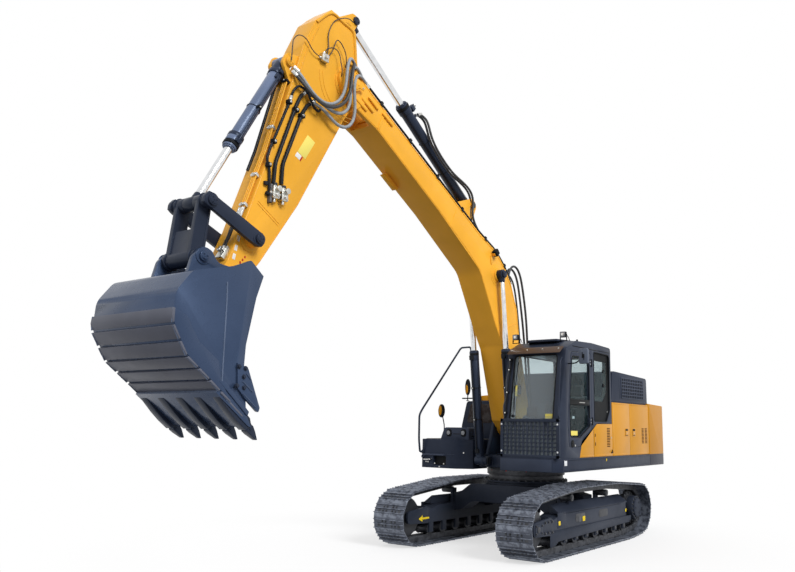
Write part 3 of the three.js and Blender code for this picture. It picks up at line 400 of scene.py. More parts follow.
ARM_LOOPS = {
    "arm_loop_1": (grey_wrap, [
        (5.69, .185, 5.77), (5.65, .205, 5.80), (5.56, .23, 5.79), (5.46, .245, 5.73), (5.35, .255, 5.63),
        (5.25, .26, 5.585), (5.15, .265, 5.60), (5.05, .27, 5.645), (5.00, .275, 5.73), (4.98, .28, 5.82),
        (4.97, .285, 5.91), (5.00, .29, 5.99), (5.02, .30, 6.07), (5.055, .31, 6.155), (5.06, .315, 6.24),
        (5.04, .31, 6.36), (4.97, .285, 6.44), (4.86, .25, 6.47), (4.76, .22, 6.44), (4.67, .205, 6.375)]),
    "arm_loop_2": (grey_wrap, [
        (5.79, .185, 5.88), (5.69, .225, 5.89), (5.56, .245, 5.81), (5.39, .265, 5.75), (5.30, .275, 5.735),
        (5.20, .285, 5.765), (5.12, .29, 5.84), (5.08, .295, 5.97), (5.10, .305, 6.11), (5.14, .315, 6.24),
        (5.13, .31, 6.38), (5.06, .285, 6.51), (4.95, .245, 6.57), (4.83, .20, 6.54), (4.74, .17, 6.47),
        (4.67, .155, 6.385)]),
    "tip_hose_1": (grey_wrap, [
        (5.97, .178, 6.13), (5.91, .22, 6.07), (5.81, .25, 5.95), (5.72, .265, 5.85), (5.59, .285, 5.79),
        (5.45, .295, 5.80), (5.32, .305, 5.88), (5.23, .315, 6.03), (5.21, .33, 6.19), (5.22, .335, 6.33),
        (5.20, .325, 6.49), (5.13, .29, 6.61), (5.03, .24, 6.65), (4.90, .175, 6.60), (4.79, .12, 6.51),
        (4.68, .105, 6.40)]),
    "tip_hose_2": (black_wrap, [
        (5.985, .174, 6.07), (5.93, .24, 5.99), (5.84, .29, 5.88), (5.74, .315, 5.79), (5.61, .33, 5.735),
        (5.46, .345, 5.745), (5.31, .355, 5.84), (5.19, .36, 5.98), (5.16, .37, 6.18), (5.15, .365, 6.36),
        (5.09, .33, 6.52), (4.99, .25, 6.60), (4.86, .145, 6.57), (4.76, .075, 6.49), (4.68, .055, 6.405)]),
}
for name, (finish, route) in ARM_LOOPS.items():
    free_hose(name, route, HOSE, finish, "boom", "arm", (4.90, .3, 6.35))

FOOT_HOSES = {
    "foot_hose_1": (0.038, [
        (0.93, .180, 4.305), (0.955, .20, 4.42), (0.935, .215, 4.54), (0.865, .22, 4.62), (.755, .22, 4.635),
        (.645, .22, 4.58), (.565, .22, 4.46), (.51, .22, 4.29),
        (.45, .22, 4.08), (.38, .215, 3.82), (.33, .21, 3.52), (.29, .20, 3.22), (.24, .19, 2.92), (.17, .17, 2.62),
        (.10, .15, 2.34), (.05, .13, 2.06), (.03, .12, 1.80), (.02, .12, 1.58), (.02, .12, 1.444)]),
    "foot_hose_2": (0.038, [
        (0.93, .125, 4.305), (0.95, .14, 4.41), (0.93, .15, 4.51), (0.86, .15, 4.585), (.75, .15, 4.595),
        (.64, .15, 4.53), (.56, .15, 4.40), (.50, .15, 4.20),
        (.43, .145, 3.95), (.36, .14, 3.68), (.29, .13, 3.38), (.23, .12, 3.08), (.16, .10, 2.76), (.08, .08, 2.44),
        (.01, .06, 2.12), (-.03, .05, 1.82), (-.04, .05, 1.57), (-.04, .05, 1.444)]),
    "foot_hose_3": (0.032, [
        (0.93, .070, 4.305), (0.93, .085, 4.39), (0.89, .10, 4.46), (0.82, .10, 4.50), (.73, .10, 4.48),
        (.64, .10, 4.40), (.57, .10, 4.26), (.49, .09, 4.04),
        (.42, .08, 3.78), (.34, .06, 3.48), (.26, .04, 3.16), (.19, .02, 2.84), (.11, .0, 2.52), (.03, -.02, 2.20),
        (-.04, -.03, 1.90), (-.08, -.04, 1.62), (-.09, -.04, 1.444)]),
}
for name, (size, route) in FOOT_HOSES.items():
    free_hose(name, route, size, black_wrap, "house", "boom", (.12, .1, 2.45))
# ---------------------------------------------------------------- crawler tracks
# Forged links on pins, with rolled triple-grouser shoes bolted across them: 47 shoes a side, in
# bare dark steel that the ground has scuffed. One shoe is modelled and laid 47 times round a loop.
SHOES = 47
IDLER, SPROCKET = (1.935, 0.440), (-1.735, 0.482)
CARRIER_X, CARRIER_Z, CARRIER_R = (0.720, -0.600), 0.805, 0.062
ROLLER_Z, ROLLER_R = 0.218, 0.085
ROLLER_X = [0.1 + 2.610 * (0.5 - i / 7) for i in range(8)]
TRACK_Y, SHOE_HALF = 1.130, 0.300


def scuffed(name, colour, bare, amount=0.5, rough=0.55, metallic=0.55):
    """Dark iron with a film of paint, rubbed bright along its edges and cloudy between."""
    material, output, start = new_material(name)
    where = start.node("TexCoord", output=3)
    cloud, speck = where.noise(2.2, 4, 0.55), where.noise(14.0, 4, 0.6)
    edge = start.node("NewGeometry", output=7).between(0.51, 0.585)
    rub = edge * speck.between(0.38, 0.6) * amount
    coat = cloud.between(0.3, 0.7).blend((*(c * 0.88 for c in colour), 1), (*(c * 1.14 for c in colour), 1))
    bump = start.node("Bump", None, {"Strength": 0.07, "Distance": 0.002, "Height": speck})
    shader = start.node("BsdfPrincipled", None, {
        "Base Color": rub.blend(coat, (*bare, 1)), "Roughness": rough - 0.1 + 0.2 * cloud, "Metallic": metallic,
        "Normal": bump})
    start.tree.links.new(shader.socket, output.inputs[0])
    return material


shoe_steel = scuffed("shoe_steel", (0.070, 0.080, 0.106), (0.34, 0.38, 0.46), 0.5, 0.34, 0.5)
link_steel = scuffed("link_steel", (0.030, 0.032, 0.038), (0.16, 0.17, 0.19), 0.3, 0.50, 0.4)


def rounded(corners, cuts=4):
    """An outline of corners; a third number rounds its corner."""
    line = []
    for i, (a, b, *radius) in enumerate(corners):
        here = Vector((a, b))
        if not radius:
            line.append(here)
            continue
        before = Vector(corners[i - 1][:2]) - here
        after = Vector(corners[(i + 1) % len(corners)][:2]) - here
        half = before.angle(after) / 2
        back = min(radius[0] * cos(half) / sin(half), 0.49 * before.length, 0.49 * after.length)
        first, last = here + before.normalized() * back, here + after.normalized() * back
        for k in range(cuts + 1):
            t = k / cuts
            line.append((1 - t) ** 2 * first + 2 * t * (1 - t) * here + t * t * last)
    return line


def plate(corners, low, high, finish, across="y", edge=0.002, cuts=4, steps=2):
    """A plate cut to an outline, its faces at low and high along one axis."""
    line = rounded(corners, cuts)
    deselect()
    bpy.ops.mesh.primitive_circle_add(vertices=len(line), radius=1, fill_type="NGON")
    made = bpy.context.object
    at = "xyz".index(across)
    for vertex, point in zip(made.data.vertices, line):
        place = list(point)
        place.insert(at, low)
        vertex.co = place
    push = [0, 0, 0]
    push[at] = high - low
    bpy.ops.object.mode_set(mode="EDIT")
    bpy.ops.mesh.select_all(action="SELECT")
    bpy.ops.mesh.extrude_region_move(TRANSFORM_OT_translate={"value": push})
    bpy.ops.mesh.select_all(action="SELECT")
    bpy.ops.mesh.normals_make_consistent(inside=False)
    bpy.ops.object.mode_set(mode="OBJECT")
    if edge:
        soften(made, edge, steps)
    made.data.materials.append(finish)
    return made


def block(low, high, finish, edge=0.002, steps=2):
    """A block between two corners, its edges broken."""
    low, high = Vector(low), Vector(high)
    deselect()
    bpy.ops.mesh.primitive_cube_add(size=1, location=(low + high) / 2)
    made = bpy.context.object
    made.scale = high - low
    bpy.ops.object.transform_apply(location=True, rotation=True, scale=True)
    if edge:
        soften(made, edge, steps)
    made.data.materials.append(finish)
    return made


def copies(piece, places):
    """Copies of a piece, each with its own mesh, one at each place. The first is used up."""
    made = []
    for place in places:
        twin = piece.copy()
        twin.data = piece.data.copy()
        twin.data.transform(place)
        if place.is_negative:
            twin.data.flip_normals()
        scene.collection.objects.link(twin)
        made.append(twin)
    bpy.data.objects.remove(piece)
    return made


def facing(point, normal, turn=0.0):
    """A place at a point, with +Z along a normal."""
    return (Matrix.Translation(Vector(point)) @ Vector(normal).to_track_quat("Z", "Y").to_matrix().to_4x4()
            @ Matrix.Rotation(turn, 4, "Z"))


def bolts(points, normal, size, finish, height=0.6):
    """Hexagon bolt heads on their washers."""
    head = join("bolt", [rod((0, 0, -size * 0.1), (0, 0, size * height), size / 2, finish, 6, size * 0.06),
                         rod((0, 0, -size * 0.1), (0, 0, size * 0.14), size * 0.68, finish, 14, 0)])
    return copies(head, [facing(p, normal, 0.4 * i) for i, p in enumerate(points)])


MIRRORED = Matrix.Scale(-1, 4, (0, 1, 0))


def chain_line():
    """Pin places round the tight loop of wheels, with the way the chain runs at each."""
    run = 0.050
    wheels = [(*IDLER, 0.357), (CARRIER_X[0], CARRIER_Z, CARRIER_R + run),
              (CARRIER_X[1], CARRIER_Z, CARRIER_R + run),
              (*SPROCKET, 0.357), (ROLLER_X[-1], ROLLER_Z, ROLLER_R + run), (ROLLER_X[0], ROLLER_Z, ROLLER_R + run)]
    count = len(wheels)
    leaves = []
    for (ax, az, ar), (bx, bz, br) in zip(wheels, wheels[1:] + wheels[:1]):
        leaves.append(atan2(bz - az, bx - ax) - pi / 2 - asin((br - ar) / hypot(bx - ax, bz - az)))
    line = []
    for i, (x, z, r) in enumerate(wheels):
        first, last = leaves[i - 1], leaves[i]
        while last < first:
            last += 2 * pi
        steps = max(2, int((last - first) * 60))
        line += [Vector((x + r * cos(first + (last - first) * k / steps),
                         z + r * sin(first + (last - first) * k / steps)))
                 for k in range(steps + 1)]
    line.append(line[0])
    reach = [0.0]
    for a, b in zip(line, line[1:]):
        reach.append(reach[-1] + (b - a).length)
    pins = []
    for n in range(SHOES):
        want = reach[-1] * n / SHOES
        i = max(k for k in range(len(line)) if reach[k] <= want)
        pins.append(line[i].lerp(line[i + 1], (want - reach[i]) / (reach[i + 1] - reach[i])))
    return pins


pins = chain_line()
pitch = (pins[1] - pins[0]).length
grousers = [(0.03, 0.047), (0.03, 0.060), (0.045, 0.0825), (0.085, 0.0825), (0.115, 0.059), (0.36, 0.058),
            (0.385, 0.079),
            (0.425, 0.079), (0.455, 0.058), (0.68, 0.058), (0.705, 0.079), (0.745, 0.079), (0.775, 0.058),
            (0.90, 0.056), (0.94, 0.0535), (1.24, 0.0435), (1.24, 0.0405), (0.93, 0.0445)]
shoe = [plate([(x * pitch, z) for x, z in grousers], -SHOE_HALF + 0.004, SHOE_HALF - 0.004, shoe_steel,
              edge=0.0012, steps=1)]
shoe += bolts([(x * pitch, y, 0.058) for x in (0.24, 0.57) for y in (-0.125, -0.06, 0.06, 0.125)], (0, 0, 1), 0.026,
              link_steel, 0.5)
shoe += [block((0.145 * pitch, y - 0.028, 0.0575), (0.335 * pitch, y + 0.028, 0.0592), link_steel,
               0) for y in (-0.2, 0.2)]
link = [(-0.10, -0.020, 0.02), (0.02, -0.049), (0.98, -0.049), (1.10, -0.020, 0.02), (1.10, 0.020, 0.02),
        (0.85, 0.046),
        (0.15, 0.046), (-0.10, 0.020, 0.02)]
for side in (1, -1):
    near, far = (0.048, 0.094)
    outline = [(x * pitch, *rest) for x, *rest in link]
    shoe.append(plate(outline, *sorted((side * near, side * far)), link_steel, edge=0.003, cuts=2, steps=1))
shoe.append(rod((0, -0.095, 0), (0, 0.095, 0), 0.024, link_steel, 12, 0))
shoe = join("shoe", shoe)
places = []
for a, b in zip(pins, pins[1:] + pins[:1]):
    along = (b - a).normalized()
    places.append(Matrix(((along.x, 0, along.y, a.x), (0, 1, 0, 0), (along.y, 0, -along.x, a.y), (0, 0, 0, 1))))
loop = join("track", copies(shoe, places))
for side, y in (("left", TRACK_Y), ("right", -TRACK_Y)):
    track = copies(loop, [HOUSE @ Matrix.Translation((0, y, 0))])[0] if side == "right" else loop.copy()
    if side == "left":
        track.data = loop.data.copy()
        track.data.transform(HOUSE @ Matrix.Translation((0, y, 0)))
        scene.collection.objects.link(track)
    track.name = "shoes_and_chain_" + side
    fit(track, "undercarriage", smooth=30, stands_for=["track_" + side])

# ---------------------------------------------------------------- track frames and their wheels
# A welded box beam a side, with a forked yoke for the idler, a drive plate for the sprocket, and
# rollers bolted below and above. Sprayed dark blue, with plain yellow marks on the outer face.
under_blue = enamel("undercarriage_blue", (0.024, 0.030, 0.046), 0.42, 0.15, 0, 0.12)
mark_yellow = enamel("yellow_mark", (0.80, 0.58, 0.02), 0.4, 0.1, 0, 0.05)
wheel_iron = scuffed("wheel_iron", (0.028, 0.030, 0.036), (0.20, 0.21, 0.24), 0.3, 0.45, 0.4)


def dress(node, finish, edge=0.004, steps=2, melt=1.0):
    """A copy of a CAD node with its triangles merged into plates and its edges broken."""
    source = frame["nodes"][node]
    piece = source.copy()
    piece.data = source.data.copy()
    piece.parent = None
    piece.matrix_world = Matrix.Identity(4)
    for key in [k for k in piece.keys() if k.startswith("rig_")]:
        del piece[key]
    scene.collection.objects.link(piece)
    deselect()
    piece.select_set(True)
    bpy.context.view_layer.objects.active = piece
    bpy.ops.object.mode_set(mode="EDIT")
    bpy.ops.mesh.select_all(action="SELECT")
    bpy.ops.mesh.remove_doubles(threshold=2e-5)
    bpy.ops.mesh.dissolve_limited(angle_limit=radians(melt))
    bpy.ops.object.mode_set(mode="OBJECT")
    if edge:
        soften(piece, edge, steps)
    piece.data.materials.clear()
    piece.data.materials.append(finish)
    return piece


for side, s in (("left", 1), ("right", -1)):
    at = HOUSE @ Matrix.Translation((0, s * TRACK_Y, 0)) @ (Matrix.Identity(4) if s > 0 else MIRRORED)
    frame_piece = fit(dress("track_frame_" + side, under_blue, 0.006), "undercarriage",
                      stands_for=["track_frame_" + side])
    frame_piece.name = "side_frame_" + side
    wheels = []
    for i, x in enumerate(ROLLER_X):
        radius = ROLLER_R - (0.009 if i in (0, 7) else 0.0003)
        wheels.append(rod((x, -0.116, ROLLER_Z), (x, 0.116, ROLLER_Z), radius, wheel_iron, 32, 0.004))
        for y in (-0.110, 0.110):
            wheels.append(rod((x, y - 0.008, ROLLER_Z), (x, y + 0.008, ROLLER_Z),
                              0.0955 - (0.012 if i in (0, 7) else 0),
                              wheel_iron, 32, 0.003))
        wheels.append(rod((x, 0.146, ROLLER_Z), (x, 0.156, ROLLER_Z), 0.036, wheel_iron, 20, 0.002))
    for x in CARRIER_X:
        wheels.append(rod((x, -0.091, CARRIER_Z), (x, 0.111, CARRIER_Z), CARRIER_R - 0.0085, wheel_iron, 32, 0.004))
        wheels.append(rod((x, 0.110, CARRIER_Z), (x, 0.118, CARRIER_Z), 0.034, wheel_iron, 20, 0.002))
    at_bolts = [(x + dx, 0.1485, ROLLER_Z + dz) for x in ROLLER_X for dx in (-0.038, 0.038) for dz in (0.045,
        0.085)]
    wheels += bolts(at_bolts, (0, 1, 0), 0.022, wheel_iron)
    fit(join("rollers_" + side, wheels), "undercarriage", at)

    trim = [
        block((1.02, 0.150, 0.40), (1.30, 0.153, 0.62), under_blue, 0.001),
        block((-1.00, 0.150, 0.352), (1.42, 0.168, 0.372), under_blue, 0.003),
        block((-0.92, 0.150, 0.60), (1.10, 0.158, 0.612), under_blue, 0.002),
        plate([(-0.02, 0.735), (0.148, 0.612), (0.148, 0.596), (-0.02, 0.596)], -1.38, 1.24, under_blue,
              across="x", edge=0.006),
        plate([(-1.50, 0.300), (-1.40, 0.262), (1.30, 0.212), (1.40, 0.160), (1.56, 0.150), (1.56, 0.372),
               (-1.50, 0.372)], 0.1575, 0.1648,
              under_blue, edge=0.003),
    ]
    for x in (-0.35, 0.52):  # clean-out pockets of the beam
        trim.append(plate([(x - 0.19, 0.44, 0.05), (x + 0.19, 0.44, 0.05), (x + 0.17, 0.56, 0.05),
                           (x - 0.17, 0.56, 0.05)],
                          0.1502, 0.1525, wheel_iron, edge=0.0008))
    for x, w, h, mark in ((-1.30, 0.05, 0.05, mark_yellow), (1.24, 0.06, 0.06, mark_yellow),
                          (0.40, 0.09, 0.075, mark_yellow), (0.55, 0.07, 0.08, wheel_iron)):
        trim.append(block((x - w / 2, 0.1505, 0.47 - h / 2), (x + w / 2, 0.1545, 0.47 + h / 2), mark, 0.0008))
    arrow = [(1.78, 0.405), (1.68, 0.455), (1.68, 0.420), (1.50, 0.420), (1.50, 0.390), (1.68, 0.390),
             (1.68, 0.355)]
    trim.append(plate(arrow, -0.1716, -0.1698, mark_yellow, edge=0.0005))
    trim += bolts([(1.50 + 0.11 * i, 0.166, z) for i in range(3) for z in (0.37, 0.52)], (0, 1, 0), 0.034,
                  wheel_iron)
    fit(join("frame_trim_" + side, trim), "undercarriage", at)

    x, z = IDLER
    rim = 0.3055
    idler = [
        rod((x, -0.080, z), (x, 0.080, z), rim - 0.022, wheel_iron, 64, 0.005),
        rod((x, -0.052, z), (x, 0.052, z), rim, wheel_iron, 64, 0.006),
        rod((x, -0.088, z), (x, 0.088, z), 0.135, wheel_iron, 40, 0.006),
        rod((x, -0.117, z), (x, 0.117, z), 0.060, wheel_iron, 32, 0.004),
    ]
    fit(join("front_idler_" + side, idler), "undercarriage", at, stands_for=["idler_" + side])
    cap = [plate([(x - 0.13, z - 0.075, 0.02), (x + 0.09, z - 0.075, 0.02), (x + 0.09, z + 0.075, 0.02),
                  (x - 0.13, z + 0.075, 0.02)],
                 0.1655, 0.177, under_blue, edge=0.003),
           rod((x, 0.176, z), (x, 0.186, z), 0.045, wheel_iron, 28, 0.003)]
    cap += bolts([(x + dx, 0.177, z + dz) for dx in (-0.105, 0.065) for dz in (-0.052, 0.052)], (0, 1, 0), 0.026,
                 wheel_iron)
    fit(join("idler_bearing_" + side, cap), "undercarriage", at)

    x, z = SPROCKET
    rim, teeth = 0.3055, []
    for i in range(21):
        for share, radius in ((-0.30, rim - 0.038), (-0.10, rim - 0.004), (0.10, rim - 0.004), (0.30, rim - 0.038)):
            angle = (i * 2 + share * 2) * pi / 21
            teeth.append((x + radius * cos(angle), z + radius * sin(angle)))
    drive = [plate(teeth, -0.034, 0.034, wheel_iron, edge=0.004),
             rod((x, -0.117, z), (x, 0.050, z), 0.222, wheel_iron, 56, 0.006),
             rod((x, 0.045, z), (x, 0.172, z), 0.205, under_blue, 56, 0.010),
             rod((x, 0.170, z), (x, 0.198, z), 0.165, under_blue, 56, 0.010),
             rod((x, 0.196, z), (x, 0.2045, z), 0.150, under_blue, 48, 0.004)]
    around = [(radians(360 / 16 * k)) for k in range(16)]
    drive += bolts([(x + 0.186 * cos(a), 0.172, z + 0.186 * sin(a)) for a in around], (0, 1, 0), 0.026, wheel_iron)
    drive += bolts([(x + 0.245 * cos(a), 0.034, z + 0.245 * sin(a)) for a in around], (0, 1, 0), 0.026, wheel_iron)
    drive += [rod((x + dx, 0.197, z + dz), (x + dx, 0.2045, z + dz), 0.018, wheel_iron, 12, 0.001)
              for dx, dz in ((0.1, 0), (-0.05, 0.087), (-0.05, -0.087))]
    fit(join("travel_drive_" + side, drive), "undercarriage", at, stands_for=["sprocket_" + side])

# ---------------------------------------------------------------- carbody and slewing ring
# The cast and welded middle of the undercarriage: two arched beams and a drum that carries the
# toothed slewing ring, bolted all round, with dabs of red paint on its checked bolts.
mark_red = enamel("red_bolt_mark", (0.42, 0.02, 0.02), 0.4, 0.1, 0, 0.05)
fit(dress("carbody", under_blue, 0.010, 3), "undercarriage",
    stands_for=["carbody"]).name = "cross_beams"
ring = [rod((0, 0, 0.9995), (0, 0, 1.092), 0.640, wheel_iron, 96, 0.008),
        rod((0, 0, 1.086), (0, 0, 1.2175), 0.669, wheel_iron, 96, 0.010),
        rod((0, 0, 0.640), (0, 0, 0.9995), 0.680, under_blue, 96, 0.004),
        rod((0, 0, 0.965), (0, 0, 0.9997), 0.715, under_blue, 96, 0.008)]
ring_at = [radians(10 * k) for k in range(36)]
ring += bolts([(0.697 * cos(a), 0.697 * sin(a), 1.000) for a in ring_at], (0, 0, 1), 0.028, wheel_iron)
ring += [block((0.655 * cos(a) - 0.012, 0.655 * sin(a) - 0.012, 1.150),
               (0.655 * cos(a) + 0.016, 0.655 * sin(a) + 0.016, 1.172),
               mark_red if k % 3 == 0 else wheel_iron, 0.002) for k, a in enumerate(ring_at)]
fit(join("slewing_ring", ring), "undercarriage", HOUSE, stands_for=["slew_ring"])
hub = [rod((0, 0, 0.50), (0, 0, 0.66), 0.16, wheel_iron, 32, 0.006),
       rod((0.28, 0, 0.55), (0.28, 0, 0.64), 0.05, wheel_iron)]
hub += [block((-0.42, -0.34, 0.606), (0.58, 0.34, 0.622), under_blue, 0.004)]
hub += bolts([(x, y, 0.606) for x in (-0.38, 0.08, 0.54) for y in (-0.3, 0.3)], (0, 0, -1), 0.028, wheel_iron)
fit(join("swivel_joint", hub), "undercarriage", HOUSE)

# ---------------------------------------------------------------- slewing deck
# The welded deck with its boom ears, edged by pressed skirts: dark blue along the sides, a paler
# slate below the cab's front. One small white plate and a yellow mark, both left blank.
house_blue = enamel("house_blue", (0.017, 0.024, 0.044), 0.36, 0.3, 0, 0.12)
house_slate = enamel("house_slate", (0.036, 0.046, 0.074), 0.40, 0.2, 0, 0.10)
blank_white = enamel("blank_white", (0.72, 0.74, 0.76), 0.4, 0.1, 0, 0.03)
dark_trim = enamel("black_trim", (0.008, 0.009, 0.011), 0.55, 0.0, 0, 0.2)

fit(dress("slewing_frame", house_blue, 0.006), "house", stands_for=["slewing_frame"]).name = "deck"
deck = [
    block((1.505, 0.400, 1.222), (1.5115, 1.300, 1.405), house_slate, 0.003),
    block((-2.12, 1.4395, 1.236), (1.36, 1.4435, 1.252), house_blue, 0.001),
    block((-2.12, 1.4395, 1.392), (1.36, 1.4425, 1.404), house_blue, 0.001),
    block((-2.12, -1.4435, 1.236), (0.46, -1.4395, 1.252), house_blue, 0.001),
    block((1.285, 1.4400, 1.318), (1.375, 1.4415, 1.398), blank_white, 0.0004),
    block((-0.175, 1.4400, 1.350), (-0.145, 1.4415, 1.388), mark_yellow, 0.0004),
]
for s in (1, -1):  # doubler plates and pin keeper on the boom's ears
    y = s * 0.3005
    deck += [
        rod((0.43, y - s * 0.004, 1.9), (0.43, y + s * 0.022, 1.9), 0.105, house_blue, 48, 0.005),
        rod((0.43, y, 1.9), (0.43, y + s * 0.034, 1.9), 0.062, wheel_iron, 40, 0.004),
        plate([(0.49, 1.87, 0.01), (0.60, 1.85, 0.01), (0.60, 1.90, 0.01), (0.49, 1.93, 0.01)],
              *sorted((y, y + s * 0.012)), wheel_iron),
    ]
    deck += bolts([(0.575, y + s * 0.012, 1.875)], (0, s, 0), 0.026, zinc)
    y = s * 0.234
    deck += [rod((0.972, y - s * 0.09, 1.33), (0.972, y + s * 0.012, 1.33), 0.062, wheel_iron, 36, 0.004)]
deck += bolts([(x, s * 1.40, 1.424) for s in (1, -1) for x in (-1.9, -1.5, -1.0, -0.7)], (0, 0, 1), 0.03,
              wheel_iron)
fit(join("deck_edges", deck), "house", HOUSE)

# ---------------------------------------------------------------- counterweight
# One heavy casting across the tail with big rounded corners, amber above the deck's line and dark
# blue below it, with two lifting sockets in its top and a recessed panel behind.
# the machine's one amber paint, made darker here than on the boom and arm: a painted-shade copy for the doors,
# covers and fittings
AMBER_PAINTED_SHADE = (0.600, 0.265, 0.013)


def two_tone(name, above, below, level):
    """Amber over blue, masked along a level line."""
    material, output, start = new_material(name)
    where = start.node("TexCoord", output=3)
    height = start.node("SeparateXYZ", None, {0: where}, 2)
    mask = height > level
    drift, film = where.noise(1.3, 4), where.noise(9.0, 5, 0.6)
    base = mask.blend((*below, 1), drift.between(0.35, 0.65).blend((*(c * 0.92 for c in above), 1), (*above, 1)))
    bump = start.node("Bump", None, {"Strength": 0.08, "Distance": 0.003, "Height": where.noise(60.0, 3)})
    shader = start.node("BsdfPrincipled", None, {
        "Base Color": base, "Roughness": 0.28 + 0.14 * film, "Normal": bump,
        "Specular IOR Level": 0.25, "Specular Tint": (1.0, 0.62, 0.16, 1)})
    start.tree.links.new(shader.socket, output.inputs[0])
    return material


# the amber above the deck line is a still darker copy of the machine's paint, painted shade; below it is the house
# blue
cast_tail_painted_shade = two_tone("amber_over_blue", (0.500, 0.212, 0.008), (0.017, 0.024, 0.044), 1.424)
# enamel in that darkened amber: painted shade, not a different paint
amber_painted_shade = enamel("amber_enamel_painted_shade", AMBER_PAINTED_SHADE, 0.30, 0, 0, 0.06, shine=0.25, tint=(1.0, 0.62, 0.16))
tail = dress("counterweight", cast_tail_painted_shade, 0.030, 4, 3.0)
fit(tail, "house", smooth=50, stands_for=["counterweight"]).name = "tail_weight"
low, high = (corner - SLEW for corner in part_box("counterweight"))
sockets = []
for s in (1, -1):
    # each socket is an amber ring with a dark disc in it, painted shade for the hole
    sockets += [rod((-2.62, s * 0.62, 2.33), (-2.62, s * 0.62, 2.349), 0.10, amber_painted_shade, 40, 0.004),
                rod((-2.62, s * 0.62, 2.345), (-2.62, s * 0.62, 2.3505), 0.055, dark_trim, 32, 0.001)]
sockets += [block((low.x - 0.0015, -0.62, 1.50), (low.x + 0.01, 0.62, 1.52), amber_painted_shade, 0.002),
            block((low.x - 0.0015, -0.62, 2.02), (low.x + 0.01, 0.62, 2.04), amber_painted_shade, 0.002),
            block((low.x - 0.0015, -0.62, 1.50), (low.x + 0.01, -0.60, 2.04), amber_painted_shade, 0.002),
            block((low.x - 0.0015, 0.60, 1.50), (low.x + 0.01, 0.62, 2.04), amber_painted_shade, 0.002)]
for s in (1, -1):
    sockets += [block((low.x - 0.0018, s * 0.80 - 0.07, 1.62), (low.x + 0.01, s * 0.80 + 0.07, 1.70), mark_red,
                      0.003)]
fit(join("tail_fittings", sockets), "house", HOUSE)

# ---------------------------------------------------------------- engine bay walls, engine and hood
# Sheet-steel walls round the bay, the ribbed power unit in it, and the folded hood above with
# punched grids of square holes on both flanks for the cooling air.
fit(dress("machinery_shell", house_blue, 0.003), "house",
    stands_for=["machinery_shell"]).name = "bay_walls"
unit = [block((-1.95, -0.56, 1.4243), (-0.75, 0.56, 1.62), wheel_iron, 0.02, 3),
        block((-1.90, -0.42, 1.60), (-0.85, 0.42, 1.98), wheel_iron, 0.03, 3),
        rod((-1.80, 0.0, 2.02), (-0.95, 0.0, 2.02), 0.175, wheel_iron, 40, 0.01),
        rod((-0.84, 0.0, 1.84), (-0.76, 0.0, 1.84), 0.30, dark_trim, 48, 0.01)]
unit += [block((-1.86 + 0.12 * i, -0.555, 1.64), (-1.83 + 0.12 * i, 0.555, 1.95), wheel_iron,
               0.004) for i in range(9)]
unit += [tube(flowing([(-1.1, s * 0.5, 1.6), (-1.0, s * 0.54, 1.9), (-1.25, s * 0.45, 2.1),
                       (-1.6, s * 0.3, 2.12)]), 0.022, black_wrap)
         for s in (1, -1)]
fit(join("power_unit", unit), "house", HOUSE, stands_for=["power_block"])

fit(dress("hood", house_blue, 0.018, 3, 3.0), "house", smooth=45,
    stands_for=["hood"]).name = "hood_skin"


def punched(x, z, columns, rows, y, s, finish, hole=0.70):
    """A grid of bars over a dark sheet of painted shade, standing for the bay behind, seen as rows of square holes.
    """
    wide, tall = (x[1] - x[0]) / columns, (z[1] - z[0]) / rows
    bar_x, bar_z = wide * (1 - hole) / 2, tall * (1 - hole) / 2
    made = [block((x[0], *sorted((y, y + s * 0.002))[:1], z[0]), (x[1], sorted((y, y + s * 0.002))[1], z[1]),
                  dark_trim, 0)]
    lo, hi = sorted((y + s * 0.0005, y + s * 0.011))
    made += [block((x[0] + wide * i - bar_x, lo, z[0] - bar_z), (x[0] + wide * i + bar_x, hi, z[1] + bar_z),
                   finish, 0.001, 1)
             for i in range(columns + 1)]
    made += [block((x[0], lo, z[0] + tall * i - bar_z),
                   (x[1], hi - s * 0.0004 if s > 0 else hi, z[0] + tall * i + bar_z), finish, 0.001, 1)
             for i in range(rows + 1)]
    return made


vents = punched((-1.98, -0.98), (2.42, 2.77), 12, 6, 1.3845, 1, house_slate)
vents += punched((-1.98, -0.98), (2.44, 2.77), 12, 6, -0.9495, -1, house_slate)
vents += [block((-2.19, 1.372, 2.352), (-0.56, 1.3885, 2.368), house_slate, 0.002),
          block((-0.90, 1.384, 2.40), (-0.885, 1.3875, 2.84), house_blue, 0.001)]
top = 2.855
for i in range(7):  # louvres pressed in the top
    x = -1.95 + 0.16 * i
    vents.append(plate([(x, top - 0.004), (x + 0.11, top - 0.004), (x + 0.10, top + 0.009),
                        (x + 0.03, top + 0.003)],
                       -0.55, 0.95, house_blue, edge=0.001))
vents += [rod((-1.2, -0.70, 2.84), (-1.2, -0.70, 2.865), 0.075, dark_trim, 36, 0.004)]
fit(join("hood_vents", vents), "house", HOUSE)
cover = [dress("right_cover", amber_painted_shade, 0.010, 3)]
fit(cover[0], "house", stands_for=["right_cover"]).name = "right_top_cover"

# ---------------------------------------------------------------- side doors and the step panel
# Pressed steel doors hung flush along both sides, amber, with rolled edges, square finger cups
# with a keyed latch, punched slots for air, and a folded lip along the bottom.
# dark brown-black for the insides of slots, cups and seams: painted shade where the openings would be
slot_painted_shade = enamel("slot_shadow", (0.030, 0.016, 0.006), 0.6, 0, 0, 0.2)


